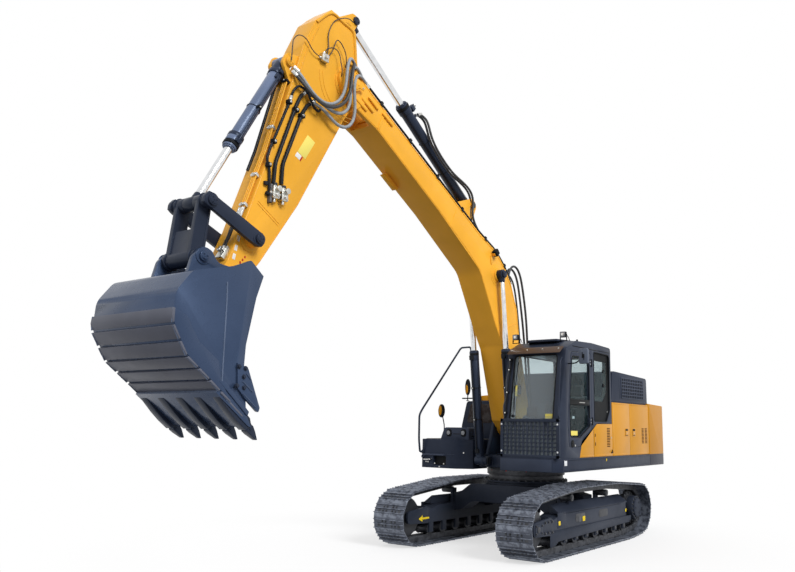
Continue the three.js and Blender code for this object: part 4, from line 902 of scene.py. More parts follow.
def cup(x, z, y, s, size=0.075):
    """A square finger cup with its paddle and lock, its hollow a dark plate of painted shade."""
    n = lambda lo, hi: sorted((y + s * lo, y + s * hi))
    parts = [
        plate([(x - size, z - size, 0.02), (x + size, z - size, 0.02), (x + size, z + size, 0.02),
               (x - size, z + size, 0.02)],
              *n(-0.002, 0.0035), amber_painted_shade, edge=0.002),
        plate([(x - size * 0.8, z - size * 0.8, 0.015), (x + size * 0.8, z - size * 0.8, 0.015),
               (x + size * 0.8, z + size * 0.8, 0.015), (x - size * 0.8, z + size * 0.8, 0.015)],
              *n(0.0032, 0.0042), slot_painted_shade, edge=0.0004),
        plate([(x - size * 0.72, z - size * 0.66, 0.01), (x + size * 0.72, z - size * 0.66, 0.01),
               (x + size * 0.72, z + size * 0.30, 0.01), (x - size * 0.72, z + size * 0.30, 0.01)],
              *n(0.004, 0.0075), amber_painted_shade, edge=0.002),
        rod((x, y, z - size * 0.2), (x, y + s * 0.0105, z - size * 0.2), 0.012, zinc, 20, 0.001),
    ]
    return parts


def slots(x, z, count, y, s, finish=slot_painted_shade):
    """A column of short punched slots between two heights: dark blocks of painted shade, each under an amber lip.
    """
    lo, hi = sorted((y - s * 0.001, y + s * 0.0012))
    step = (z[1] - z[0]) / count
    made = []
    for i in range(count):
        low = z[0] + step * i
        made.append(block((x[0], lo, low + step * 0.18), (x[1], hi, low + step * 0.72), finish, 0.0004, 1))
        made.append(block((x[0] - 0.003, lo, low + step * 0.72),
                          (x[1] + 0.003, hi + 0.003 if s > 0 else hi, low + step * 0.90),
                          amber_painted_shade, 0.001, 1))
    return made


def side_door(node, s, cups=(), grids=(), more=()):
    """A door skin with its cups and slots, riding on its own hinge."""
    body = node if node != "left_step_panel" else "house"
    fit(dress(node, amber_painted_shade, 0.007, 3), body, stands_for=[node]).name = node + "_skin"
    low, high = (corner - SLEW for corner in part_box(node))
    y = s * 1.433
    lip = sorted((y - s * 0.001, y + s * 0.0022))
    parts = [block((low.x + 0.012, lip[0], low.z + 0.012), (high.x - 0.012, lip[1], low.z + 0.034), amber_painted_shade, 0.002)]
    for x, z in cups:
        parts += cup(x, z, y, s)
    for x, z, count in grids:
        parts += slots(x, z, count, y, s)
    parts += list(more)
    return fit(join(node + "_trim", parts), body, HOUSE)


# the dark line along the step panel's edge is painted shade for the gap there
side_door("left_step_panel", 1, more=[block((0.303, 1.4325, 1.46), (0.309, 1.4345, 1.86), slot_painted_shade, 0.0004)])
hinge = [block((0.235, 1.432, 1.60), (0.275, 1.4375, 1.80), amber_painted_shade, 0.002)]
# the hinge's two slots are dark blocks of painted shade
hinge += [block((0.242, 1.4365, z), (0.268, 1.4385, z + 0.05), slot_painted_shade, 0.0005) for z in (1.605, 1.745)]
hinge += [rod((-0.385, 1.432, 1.73), (-0.385, 1.4415, 1.73), 0.014, zinc, 20, 0.001),
          block((-0.435, 1.432, 1.475), (-0.375, 1.4465, 1.500), dark_trim, 0.003),
          block((-0.425, 1.432, 1.500), (-0.410, 1.4425, 1.53), dark_trim, 0.002)]
side_door("left_front_door", 1, grids=[((-0.335, -0.215), (1.575, 1.895), 12)], more=hinge)
side_door("left_middle_door", 1, cups=[(-1.055, 1.82)],
          more=[block((-0.50, 1.432, 1.46), (-0.47, 1.4355, 2.29), amber_painted_shade, 0.002),
                block((-1.15, 1.432, 2.296), (-0.48, 1.4360, 2.312), amber_painted_shade, 0.002)])
side_door("left_rear_door", 1, cups=[(-1.385, 1.82)],
          grids=[((-1.865, -1.765), (1.62, 1.90), 11), ((-2.03, -1.92), (1.62, 1.90), 11)],
          more=[block((-2.10, 1.432, 2.296), (-1.24, 1.4360, 2.312), amber_painted_shade, 0.002)])
side_door("right_front_door", -1, cups=[(-1.06, 1.82)], grids=[((-0.72, -0.60), (1.60, 1.92), 12)])
side_door("right_rear_door", -1, cups=[(-1.38, 1.82)],
          grids=[((-1.86, -1.74), (1.60, 1.92), 12), ((-2.04, -1.92), (1.60, 1.92), 12)])

# ---------------------------------------------------------------- tank, toolbox and its lid
# Folded and welded steel boxes up the right front corner: the tank with its filler, the step box
# with a grab bar and a toe hole, and the lid that carries two round lamps on dark plates, which are painted shade
# for their recesses.
def bent(points, bend, cuts=5):
    """A run of straight lengths of bar with rounded bends."""
    points = [Vector(p) for p in points]
    line = [points[0]]
    for before, here, after in zip(points, points[1:], points[2:]):
        r = min(bend, 0.45 * (here - before).length, 0.45 * (after - here).length)
        first, last = here + (before - here).normalized() * r, here + (after - here).normalized() * r
        line += [(1 - t) ** 2 * first + 2 * t * (1 - t) * here + t * t
                 * last for t in (k / cuts for k in range(cuts + 1))]
    return [*line, points[-1]]


brown_plate = enamel("tread_brown", (0.040, 0.030, 0.028), 0.6, 0.0, 0.6, 0.25)
lamp_glass = enamel("lamp_glass", (0.20, 0.21, 0.23), 0.10, 0.6, 0, 0.05, shine=0.5)
fit(dress("tank", house_blue, 0.012, 3), "house", stands_for=["tank"]).name = "tank_box"
tank = [
    plate([(-1.28, 1.95, 0.04), (-0.56, 1.95, 0.04), (-0.56, 2.29, 0.04), (-1.20, 2.29, 0.04)], -0.052, -0.044,
          brown_plate,
          across="x", edge=0.003),
    rod((-0.045, -1.08, 2.13), (-0.038, -1.08, 2.13), 0.030, dark_trim, 24, 0.001),
    rod((-0.25, -0.85, 2.340), (-0.25, -0.85, 2.385), 0.075, dark_trim, 32, 0.006),
    rod((-0.25, -0.85, 2.380), (-0.25, -0.85, 2.400), 0.045, zinc, 24, 0.004),
    block((-0.42, -1.20, 2.344), (-0.08, -0.50, 2.349), brown_plate, 0.002),
]
tank += [block((-0.40 + 0.05 * i, -1.18, 2.348), (-0.385 + 0.05 * i, -0.52, 2.354), brown_plate, 0.001,
               1) for i in range(7)]
fit(join("tank_fittings", tank), "house", HOUSE)

fit(dress("toolbox", house_blue, 0.010, 3), "house", stands_for=["toolbox"]).name = "step_box"
step = [
    block((1.097, -1.43, 1.405), (1.104, -0.76, 1.413), house_slate, 0.002),
    block((1.0965, -1.39, 1.225), (1.1025, -1.21, 1.232), house_slate, 0.001),
    tube(bent([(1.098, -1.405, 1.345), (1.150, -1.405, 1.355), (1.155, -1.38, 1.395), (1.155, -0.98, 1.395),
               (1.098, -0.955, 1.395)],
              0.03), 0.014, house_slate),
    tube(bent([(1.098, -1.37, 1.318), (1.16, -1.36, 1.315), (1.165, -1.24, 1.318), (1.098, -1.225, 1.322)], 0.025),
         0.010, zinc),
    block((0.60, -1.40, 1.6585), (1.06, -1.15, 1.6635), brown_plate, 0.001),
    block((0.03, -1.40, 1.6585), (0.50, -0.48, 1.6635), brown_plate, 0.001),
    # the toe hole: a thin dark plate of painted shade where the opening is
    block((1.031, -1.195, 1.230), (1.036, -0.935, 1.372), dark_trim, 0),
]
step += [block((x, -1.385, 1.663), (x + 0.012, -1.165, 1.6685), brown_plate, 0.001,
               1) for x in (0.62 + 0.045 * i for i in range(10))]
step += [block((x, -1.37, 1.663), (x + 0.012, -0.52, 1.6685), brown_plate, 0.001,
               1) for x in (0.06 + 0.05 * i for i in range(9))]
step += bolts([(1.1015, y, z) for y, z in ((-1.34, 1.275), (-1.30, 1.275), (-1.16, 1.252), (-0.97, 1.252),
                                           (-1.06, 1.20))], (1, 0, 0),
              0.018, zinc)
step += [rod((1.02, -0.62, 1.44), (1.03, -0.615, 1.44), 0.012, zinc, 16, 0.001)]
fit(join("step_fittings", step), "house", HOUSE)

fit(dress("toolbox_lid", house_slate, 0.014, 4), "toolbox_lid",
    stands_for=["toolbox_lid"]).name = "lid_shell"
lid = [block((0.9845, -0.87, 1.745), (0.9870, -0.73, 1.757), dark_trim, 0.001)]
for y in (-0.95, -0.65):
    # a dark plate round each lamp: painted shade standing for its recess
    lid += [
        plate([(y - 0.052, 1.705, 0.045), (y + 0.052, 1.705, 0.045), (y + 0.052, 1.835, 0.045),
               (y - 0.052, 1.835, 0.045)],
              0.9845, 0.9905, dark_trim, across="x", edge=0.002),
        rod((0.985, y, 1.770), (1.011, y, 1.770), 0.046, dark_trim, 32, 0.003),
        rod((1.008, y, 1.770), (1.0125, y, 1.770), 0.036, lamp_glass, 32, 0.002),
    ]
lid += [block((0.63, -0.546, 1.70), (0.90, -0.541, 1.72), dark_trim, 0.001)]
fit(join("lid_lamps", lid), "toolbox_lid", HOUSE)

# ---------------------------------------------------------------- handrail and mirrors
# A bent steel tube from the step box up to the tank, and oval mirrors on bent arms: the one on the
# step box amber-faced, the square one by the cab in slate plastic.
rail_steel = enamel("rail_blue", (0.020, 0.028, 0.045), 0.3, 0.4, 0, 0.1)
rail = tube(bent([(1.1003, -1.423, 1.440), (1.155, -1.443, 1.440), (1.190, -1.443, 1.650), (1.195, -1.443, 2.060),
                  (1.130, -1.443, 2.150), (-0.060, -1.443, 3.350), (-0.390, -1.443, 3.395), (-0.420, -1.403, 2.900),
                  (-0.420, -1.250, 2.480), (-0.420, -1.250, 2.3453)], 0.06, 8), 0.0178, rail_steel, 4)
feet = [rod((-0.42, -1.25, 2.3455), (-0.42, -1.25, 2.356), 0.04, rail_steel, 28, 0.002),
        rod((1.1005, -1.423, 1.44), (1.109, -1.4265, 1.44), 0.036, rail_steel, 28, 0.002)]
fit(join("grab_rail", [rail, *feet]), "house", HOUSE, stands_for=["right_handrail"])


def oval(y, z, half, tall, x0, x1, finish, edge=0.004, sides=40):
    """An oval head across the machine."""
    return plate([(y + half * cos(2 * pi * i / sides), z + tall * sin(2 * pi * i / sides)) for i in range(sides)],
                 x0, x1, finish,
                 across="x", edge=edge)


mirror = [
    oval(-1.400, 2.150, 0.064, 0.119, 0.572, 0.618, dark_trim, 0.012),
    oval(-1.400, 2.150, 0.054, 0.108, 0.616, 0.6245, dark_trim, 0.003),
    oval(-1.412, 2.158, 0.036, 0.088, 0.622, 0.6262, amber_painted_shade, 0.002),
    tube(bent([(0.560, -1.360, 1.662), (0.560, -1.360, 1.90), (0.585, -1.395, 2.10)], 0.05), 0.0098, dark_trim),
    rod((0.56, -1.36, 1.6595), (0.56, -1.36, 1.672), 0.03, dark_trim, 24, 0.002),
]
fit(join("step_mirror", mirror), "house", HOUSE, stands_for=["mirror_right"])
mirror_slate = enamel("mirror_slate", (0.105, 0.125, 0.170), 0.34, 0.2, 0, 0.06)
mirror = [
    plate([(1.717, 2.830, 0.03), (1.863, 2.830, 0.03), (1.863, 3.060, 0.03), (1.717, 3.060, 0.03)], 1.362, 1.413,
          mirror_slate,
          across="x", edge=0.010, steps=3),
    plate([(1.727, 2.840, 0.03), (1.853, 2.840, 0.03), (1.853, 3.050, 0.03), (1.727, 3.050, 0.03)], 1.3585, 1.3640,
          lamp_glass,
          across="x", edge=0.001),
    tube(bent([(1.200, 1.4335, 2.860), (1.200, 1.560, 2.860), (1.375, 1.785, 2.940)], 0.05), 0.0098, dark_trim),
    block((1.4115, 1.768, 2.915), (1.4145, 1.812, 2.975), dark_trim, 0.001),
]
mirror += bolts([(1.4125, 1.778, 2.99), (1.4125, 1.80, 2.90)], (1, 0, 0), 0.016, dark_trim)
fit(join("cab_mirror", mirror), "house", HOUSE, stands_for=["mirror_left"])

mirror = [
    oval(-1.230, 2.600, 0.055, 0.150, -0.012, 0.030, dark_trim, 0.012),
    oval(-1.230, 2.600, 0.046, 0.138, 0.028, 0.034, dark_trim, 0.003),
    oval(-1.240, 2.560, 0.030, 0.080, 0.032, 0.0355, amber_painted_shade, 0.002),
    tube(bent([(-0.02, -1.250, 2.346), (-0.02, -1.250, 2.40), (0.0, -1.235, 2.46), (0.0, -1.23, 2.52)], 0.04),
         0.010, dark_trim),
    rod((-0.02, -1.37, 2.395), (-0.02, -1.13, 2.395), 0.012, dark_trim, 16, 0.002),
    rod((-0.02, -1.250, 2.3445), (-0.02, -1.250, 2.356), 0.03, dark_trim, 24, 0.002),
]
fit(join("rear_mirror", mirror), "house", HOUSE)
# ---------------------------------------------------------------- cab
# A welded frame of pressed slate-blue sheet with black trim inside, panes set in black rubber,
# a bronze rain visor over the windscreen and a mesh guard bolted over its lower part.
cab_blue = enamel("cab_blue", (0.026, 0.034, 0.056), 0.33, 0.35, 0, 0.10)
visor_bronze = enamel("visor_bronze", (0.085, 0.055, 0.040), 0.3, 0.4, 0, 0.15)
seal_black = enamel("seal_rubber", (0.006, 0.007, 0.008), 0.5, 0, 0, 0.2)
blank_yellow = enamel("blank_yellow", (0.82, 0.70, 0.16), 0.45, 0, 0, 0.04)


def pane_glass(name, tint, haze, body):
    """Toughened glass: a tint that lets light by, a film of haze, and mirror gloss at a slant."""
    material, output, start = new_material(name)
    where = start.node("TexCoord", output=3)
    clear = start.node("BsdfTransparent", None, {"Color": (*tint, 1)})
    film = start.node("BsdfPrincipled", None, {
        "Base Color": (*body, 1), "Roughness": 0.04 + 0.03 * where.noise(2.0, 3), "Specular IOR Level": 0.6})
    slant = start.node("LayerWeight", None, {0: 0.35}, 1)
    share = haze + (0.75 - haze) * slant * slant
    start.tree.links.new(start.node("MixShader", None, {0: share, 1: clear, 2: film}).socket, output.inputs[0])
    return material


clear_pane = pane_glass("windscreen_glass", (0.96, 0.98, 0.985), 0.16, (0.50, 0.56, 0.60))
dark_pane = pane_glass("side_glass", (0.88, 0.95, 0.96), 0.03, (0.03, 0.05, 0.055))

shell = dress("cab_shell", cab_blue, 0.012, 3, 2.0)
cab_lining = enamel("cab_lining", (0.36, 0.40, 0.42), 0.6, 0, 0, 0.12)
shell.data.materials.append(cab_lining)
low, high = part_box("cab_shell")
middle = (low + high) / 2
inner_low, inner_high = low + Vector((0.05, 0.05, 0.05)), high - Vector((0.05, 0.035, 0.05))
for face in shell.data.polygons:
    inward = face.normal.dot(middle - face.center) > 0
    if inward and all(inner_low[k] < face.center[k] < inner_high[k] for k in range(3)):
        face.material_index = 1
fit(shell, "house", smooth=45, stands_for=["cab_shell"]).name = "cab_frame"


def gasket(points, place, thick=0.011, finish=seal_black):
    """A rubber bead round an opening's outline."""
    line = [Vector(place(*p)) for p in rounded(points, 6)]
    return tube([*line, line[0]], thick, finish, 1)


def windscreen_x(z):
    """How far forward the cab's raked front lies at a height."""
    return 1.47 - (z - 1.95) / (3.09 - 1.95) * 0.20 if z > 1.95 else 1.44 + (z - 1.424) / 0.526 * 0.03


seals = [
    gasket([(0.535, 1.99, 0.05), (1.295, 1.99, 0.05), (1.295, 3.002, 0.06), (0.535, 3.002, 0.06)],
           lambda y, z: (windscreen_x(z) - 0.008, y, z), 0.013),
    gasket([(0.265, 1.99, 0.02), (0.265, 3.12, 0.04), (-0.345, 3.11, 0.06), (-0.345, 2.18, 0.04),
            (-0.21, 1.99, 0.02)],
           lambda x, z: (x, 1.430, z), 0.010),
    gasket([(1.16, 1.90, 0.04), (1.04, 3.04, 0.06), (-0.30, 3.04, 0.06), (-0.30, 1.90, 0.04)],
           lambda x, z: (x, 0.403, z), 0.010),
    gasket([(0.527, 2.42, 0.05), (1.303, 2.42, 0.05), (1.303, 3.08, 0.05), (0.527, 3.08, 0.05)],
           lambda y, z: (-0.418, y, z), 0.010),
    gasket([(0.15, 0.627, 0.04), (0.70, 0.627, 0.04), (0.70, 1.203, 0.04), (0.15, 1.203, 0.04)],
           lambda x, y: (x, y, 3.252), 0.010),
]
seals += [
    plate([(0.535, 2.385, 0.03), (0.675, 2.385, 0.03), (0.675, 2.535, 0.03), (0.535, 2.535, 0.03)], 1.33, 1.331,
          dark_trim, across="x", edge=0)]
seals += [rod((x, 1.409, z), (x, 1.424, z), 0.034, dark_trim, 28, 0.004) for x, z in ((-0.14, 2.83), (-0.14, 2.59))]
seals += [rod((-0.24, 1.430, 2.155), (-0.24, 1.4345, 2.155), 0.010, zinc, 14, 0.001)]
# the dark painted border of the rear side pane, cut off across its lower corner
border = [(0.262, 1.993), (0.262, 3.115), (-0.342, 3.105), (-0.342, 2.18), (-0.21, 1.993)]
inner_edge = [(0.215, 2.32), (0.215, 2.98), (-0.255, 2.98), (-0.255, 2.48), (-0.10, 2.32)]
for i in range(5):
    a, b, c, d = border[i], border[(i + 1) % 5], inner_edge[(i + 1) % 5], inner_edge[i]
    seals.append(plate([a, b, c, d], 1.4132, 1.4145, seal_black, edge=0))
fit(join("cab_seals", seals), "house", HOUSE)

for node, finish, body in (("windscreen", clear_pane, "house"), ("cab_right_glass", dark_pane, "house"),
                           ("cab_side_glass", dark_pane, "house"), ("cab_rear_glass", clear_pane, "house"),
                           ("cab_roof_glass", dark_pane, "house"), ("door_glass", dark_pane, "cab_door")):
    pane = frame["nodes"][node]
    pane.data.materials.clear()
    pane.data.materials.append(finish)

roof = [
    plate([(1.245, 3.125), (1.27, 3.128), (1.395, 3.040), (1.405, 3.018), (1.385, 3.022), (1.26, 3.105)], 0.455,
          1.385,
          visor_bronze, edge=0.002),
    plate([(0.62, 0.52, 0.03), (1.06, 0.62, 0.05), (1.06, 1.18, 0.05), (0.62, 1.28, 0.03)], 3.235, 3.2735, cab_blue,
          across="z", edge=0.012, steps=3),
    plate([(0.72, 0.58, 0.03), (1.02, 0.66, 0.05), (1.02, 1.14, 0.05), (0.72, 1.22, 0.03)], 3.270, 3.2800,
          house_slate,
          across="z", edge=0.004),
    block((-0.30, 0.50, 3.236), (0.05, 1.30, 3.262), cab_blue, 0.010, 3),
    rod((0.60, 1.30, 3.235), (0.60, 1.30, 3.30), 0.016, dark_trim, 16, 0.003),
]
roof += bolts([(1.335, y, 3.085) for y in (0.50, 0.78, 1.06, 1.34)], (0.57, 0, 0.82), 0.020, zinc)
for y in (0.475, 1.335):  # square work lights on brackets
    x, z = 1.16, 3.275
    roof += [
        block((x - 0.030, y - 0.050, z), (x + 0.030, y + 0.050, z + 0.090), dark_trim, 0.010, 3),
        block((x + 0.0295, y - 0.042, z + 0.008), (x + 0.0335, y + 0.042, z + 0.082), lamp_glass, 0.002),
        rod((x + 0.033, y, z + 0.045), (x + 0.0365, y, z + 0.045), 0.022, zinc, 24, 0.001),
        block((x - 0.020, y - 0.058, z - 0.050), (x + 0.010, y - 0.052, z + 0.055), dark_trim, 0.001),
        block((x - 0.020, y + 0.052, z - 0.050), (x + 0.010, y + 0.058, z + 0.055), dark_trim, 0.001),
        block((x - 0.030, y - 0.058, z - 0.056), (x + 0.020, y + 0.058, z - 0.049), dark_trim, 0.001),
        tube(flowing([(x - 0.03, y, z + 0.03), (x - 0.09, y + 0.03, z + 0.03), (x - 0.12, y + 0.05, z - 0.04)]),
             0.006, black_wrap),
    ]
roof += [block((0.10, 1.4305, 3.145), (1.04, 1.4375, 3.157), seal_black, 0.002),
         block((-0.37, 1.4305, 3.150), (0.10, 1.4365, 3.160), seal_black, 0.002)]
fit(join("roof_fittings", roof), "house", HOUSE)

# the wiper and the washer line up the right-hand pillar, and the hand bars
front = []
px = lambda z, off=0.0: windscreen_x(z) + off
front += [
    tube(bent([(px(2.02, 0.012), 0.47, 2.02), (px(2.45, 0.030), 0.475, 2.45), (px(2.96, 0.022), 0.50, 2.96)],
              0.05), 0.010, dark_trim),
    tube(flowing([(px(2.02, 0.012), 0.445, 2.02), (px(2.2, 0.04), 0.43, 2.2), (px(2.4, 0.02), 0.455, 2.4),
                  (px(2.6, 0.045), 0.44, 2.6),
                  (px(2.8, 0.02), 0.46, 2.8), (px(2.98, 0.04), 0.455, 2.98)]), 0.008, black_wrap),
    tube(bent([(px(2.05, 0.01), 0.60, 2.05), (px(2.30, 0.028), 0.60, 2.30), (px(2.90, 0.022), 0.62, 2.90)], 0.05),
         0.006, dark_trim),
    block((px(2.35, 0.006), 0.594, 2.12), (px(2.35, 0.012), 0.602, 2.86), seal_black, 0.001),
    rod((px(2.05, -0.01), 0.60, 2.05), (px(2.05, 0.03), 0.60, 2.05), 0.022, dark_trim, 20, 0.003),
    tube(bent([(px(2.05, 0.0), 1.405, 2.02), (px(2.1, 0.05), 1.405, 2.06), (px(2.9, 0.055), 1.380, 2.90),
               (px(2.95, 0.0), 1.38, 2.95)], 0.04),
         0.011, cab_blue),
]
front += [block((px(z, 0.0), 0.440, z - 0.020), (px(z, 0.034), 0.490, z + 0.020), dark_trim, 0.004) for z in (2.10,
    2.42, 2.78, 2.94)]
front += [rod((px(z, 0.03), 0.465, z), (px(z, 0.040), 0.465, z), 0.012, zinc, 16, 0.001) for z in (2.10, 2.42,
    2.78, 2.94)]
front += [
    block((1.428, 1.150, 2.015), (1.430, 1.300, 2.085), blank_yellow, 0),
    block((1.352, 0.575, 2.36), (1.354, 0.615, 2.53), blank_yellow, 0),
]
fit(join("pillar_fittings", front), "house", HOUSE)

# the guard: a frame of flat bar with a welded lattice, on four bright bolts
grid = [
    plate([(0.401, 1.4245, 0.02), (1.429, 1.4245, 0.02), (1.429, 1.470, 0.005), (0.401, 1.470, 0.005)], 1.484,
          1.510, cab_blue,
          across="x", edge=0.003),
    plate([(0.401, 1.960, 0.005), (1.429, 1.960, 0.005), (1.429, 2.010, 0.02), (0.401, 2.010, 0.02)], 1.484, 1.510,
          cab_blue,
          across="x", edge=0.003),
    block((1.484, 0.401, 1.4245), (1.510, 0.446, 2.010), cab_blue, 0.003),
    block((1.484, 1.372, 1.4245), (1.510, 1.429, 2.010), cab_blue, 0.003),
    block((1.4715, 0.62, 1.90), (1.490, 0.66, 1.99), cab_blue, 0.002),
    block((1.4715, 1.17, 1.90), (1.490, 1.21, 1.99), cab_blue, 0.002),
    block((1.476, 0.405, 1.430), (1.4845, 1.425, 1.46), cab_blue, 0.002),
]
step = (1.372 - 0.446) / 13
grid += [block((1.492, 0.446 + step * i - 0.010, 1.465), (1.506, 0.446 + step * i + 0.010, 1.965), cab_blue, 0.002,
               1) for i in range(1, 13)]
step = (1.960 - 1.470) / 8
grid += [block((1.489, 0.440, 1.470 + step * i - 0.010), (1.503, 1.378, 1.470 + step * i + 0.010), cab_blue, 0.002,
               1) for i in range(1, 8)]
# the lower pane behind the lattice: an opaque pale sheet, painted light for the bright cab seen through the glass
lower_pane_painted_light = enamel("lower_pane_painted_light", (0.20, 0.235, 0.260), 0.2, 0.4, 0, 0.25)
grid.append(block((1.4715, 0.440, 1.462), (1.4755, 1.378, 1.968), lower_pane_painted_light, 0))
grid += bolts([(1.5035, y, z) for y in (0.424, 1.398) for z in (1.515, 1.925)], (1, 0, 0), 0.030, blank_white, 0.5)
fit(join("mesh_guard", grid), "house", HOUSE, stands_for=["lower_guard"])

# ---------------------------------------------------------------- cab door
# A pressed door skin with two panes behind it, a black bar and seals between them, lift-off hinges
# at its rear edge, a round latch pull and a key below. Its yellow plate is left blank.
door = dress("cab_door", cab_blue, 0.008, 3, 2.0)
fit(door, "cab_door", smooth=45, stands_for=["cab_door"]).name = "door_skin"
trim = [
    gasket([(0.45, 2.310, 0.03), (1.15, 2.310, 0.03), (1.062, 2.99, 0.06), (0.45, 3.01, 0.06)], lambda x,
           z: (x, 1.4315, z), 0.009),
    gasket([(0.45, 1.905, 0.03), (0.73, 1.78, 0.04), (0.80, 1.74, 0.04), (1.14, 1.74, 0.06), (1.16, 2.25, 0.03),
            (0.45, 2.25, 0.03)],
           lambda x, z: (x, 1.4315, z), 0.009),
    plate([(0.445, 2.235, 0.01), (1.165, 2.235, 0.01), (1.155, 2.325, 0.01), (0.445, 2.325, 0.01)], 1.4315, 1.4345,
          seal_black, edge=0.001),
    block((0.62, 1.4343, 2.272), (0.82, 1.4349, 2.282), zinc, 0),
    rod((1.075, 1.428, 1.640), (1.075, 1.4395, 1.640), 0.058, dark_trim, 40, 0.005),
    rod((1.075, 1.4385, 1.640), (1.075, 1.4405, 1.640), 0.046, seal_black, 40, 0.001),
    block((1.035, 1.4385, 1.632), (1.115, 1.4460, 1.650), dark_trim, 0.004),
    rod((1.000, 1.428, 1.612), (1.000, 1.4445, 1.612), 0.016, zinc, 24, 0.002),
    block((0.82, 1.3935, 1.765), (1.05, 1.3950, 1.835), blank_yellow, 0),
    tube(bent([(0.50, 1.380, 2.20), (0.50, 1.33, 2.20), (1.08, 1.33, 2.20), (1.08, 1.380, 2.20)], 0.03), 0.012,
         dark_trim),
]
for z in (1.99, 2.93):
    trim += [rod((0.370, 1.4443, z - 0.062), (0.370, 1.4443, z + 0.062), 0.0112, dark_trim, 24, 0.002),
             block((0.372, 1.4333, z - 0.045), (0.455, 1.4415, z + 0.045), cab_blue, 0.003)]
    trim += bolts([(0.42, 1.4415, z + d) for d in (-0.022, 0.022)], (0, 1, 0), 0.014, zinc)
fit(join("door_trim", trim), "cab_door", HOUSE)

# ---------------------------------------------------------------- seat and controls
# A sprung seat: moulded foam under woven cloth, hand-shaped into bolsters with sewn channels,
# on a black stand; side consoles, travel levers and a small screen.
def woven(name, colour):
    """Upholstery cloth: a fine basket weave in bump, with a slow drift of tone."""
    material, output, start = new_material(name)
    where = start.node("TexCoord", output=3)
    axes = [start.node("SeparateXYZ", None, {0: where}, n) for n in range(3)]
    threads = start.math("SINE", axes[1] * 2200) * start.math("SINE", (axes[0] + axes[2]) * 2200)
    drift = where.noise(8.0, 4)
    tinted = drift.between(0.3, 0.7).blend((*(c * 0.75 for c in colour), 1), (*colour, 1))
    bump = start.node("Bump", None, {"Strength": 0.35, "Distance": 0.001, "Height": threads})
    shader = start.node("BsdfPrincipled", None, {
        "Base Color": tinted, "Roughness": 0.85 + 0.1 * drift, "Normal": bump, "Sheen Weight": 0.3})
    start.tree.links.new(shader.socket, output.inputs[0])
    return material


cloth = woven("seat_weave", (0.035, 0.036, 0.042))


def cushion(name, corners, y, puff, channels, finish=cloth):
    """A foam pad: an outline across the seat, subdivided, crowned, pinched at its sewn channels."""
    pad = plate(corners, y[0], y[1], finish, edge=0.022, steps=3, cuts=4)
    deselect()
    pad.select_set(True)
    bpy.context.view_layer.objects.active = pad
    remesh = pad.modifiers.new("fine", "REMESH")
    remesh.mode, remesh.voxel_size = "VOXEL", 0.010
    bpy.ops.object.modifier_apply(modifier=remesh.name)
    centre = sum((v.co for v in pad.data.vertices), Vector()) / len(pad.data.vertices)
    half = (y[1] - y[0]) / 2
    for v in pad.data.vertices:
        side = (v.co.y - centre.y) / half
        bolster = 0.35 + 0.65 * min(1.0, abs(side) * 1.25) ** 2
        v.co += v.normal * puff * bolster * (1 - 0.5 * abs(side) ** 6)
        for at, direction in channels:
            gap = (v.co - at).dot(direction)
            if abs(gap) < 0.022 and abs(side) < 0.72:
                v.co -= v.normal * 0.006 * (1 - abs(gap) / 0.022)
    pad.data.materials.clear()
    pad.data.materials.append(finish)
    ease = pad.modifiers.new("ease", "SMOOTH")
    ease.iterations, ease.factor = 3, 0.5
    bpy.ops.object.modifier_apply(modifier=ease.name)
    pad.name = name
    fit(pad, "house", HOUSE, smooth=60)
    return pad


base = cushion("seat_cushion", [(-0.01, 1.765, 0.03), (0.53, 1.765, 0.05), (0.545, 1.865, 0.06),
                                (-0.01, 1.845, 0.03)], (0.705, 1.125),
               0.010, [(Vector((x, 0, 1.85)), Vector((1, 0, 0))) for x in (0.14, 0.27, 0.40)])
back = cushion("seat_back", [(-0.050, 1.80, 0.04), (0.045, 1.81, 0.03), (-0.095, 2.405, 0.05),
                             (-0.185, 2.390, 0.05)], (0.715, 1.115),
               0.010, [(Vector((0, 0, z)), Vector((0.2, 0, 1)).normalized()) for z in (1.96, 2.10, 2.24)])
rest = cushion("head_rest", [(-0.190, 2.405, 0.03), (-0.112, 2.410, 0.03), (-0.148, 2.60, 0.04),
                             (-0.208, 2.592, 0.04)], (0.81, 1.02),
               0.008, [])
stand = [
    block((0.06, 0.74, 1.486), (0.46, 1.09, 1.56), dark_trim, 0.008),
    block((0.10, 0.78, 1.69), (0.42, 1.05, 1.762), dark_trim, 0.01),
    rod((-0.13, 0.86, 2.36), (-0.15, 0.86, 2.44), 0.010, zinc),
    rod((-0.13, 0.97, 2.36), (-0.15, 0.97, 2.44), 0.010, zinc),
]
for i in range(5):
    z = 1.555 + 0.028 * i
    stand.append(block((0.08 + 0.01 * (i % 2), 0.76, z), (0.44 - 0.01 * (i % 2), 1.07, z + 0.026), seal_black,
                       0.010, 3))
fit(join("seat_stand", stand), "house", HOUSE, stands_for=["seat"])

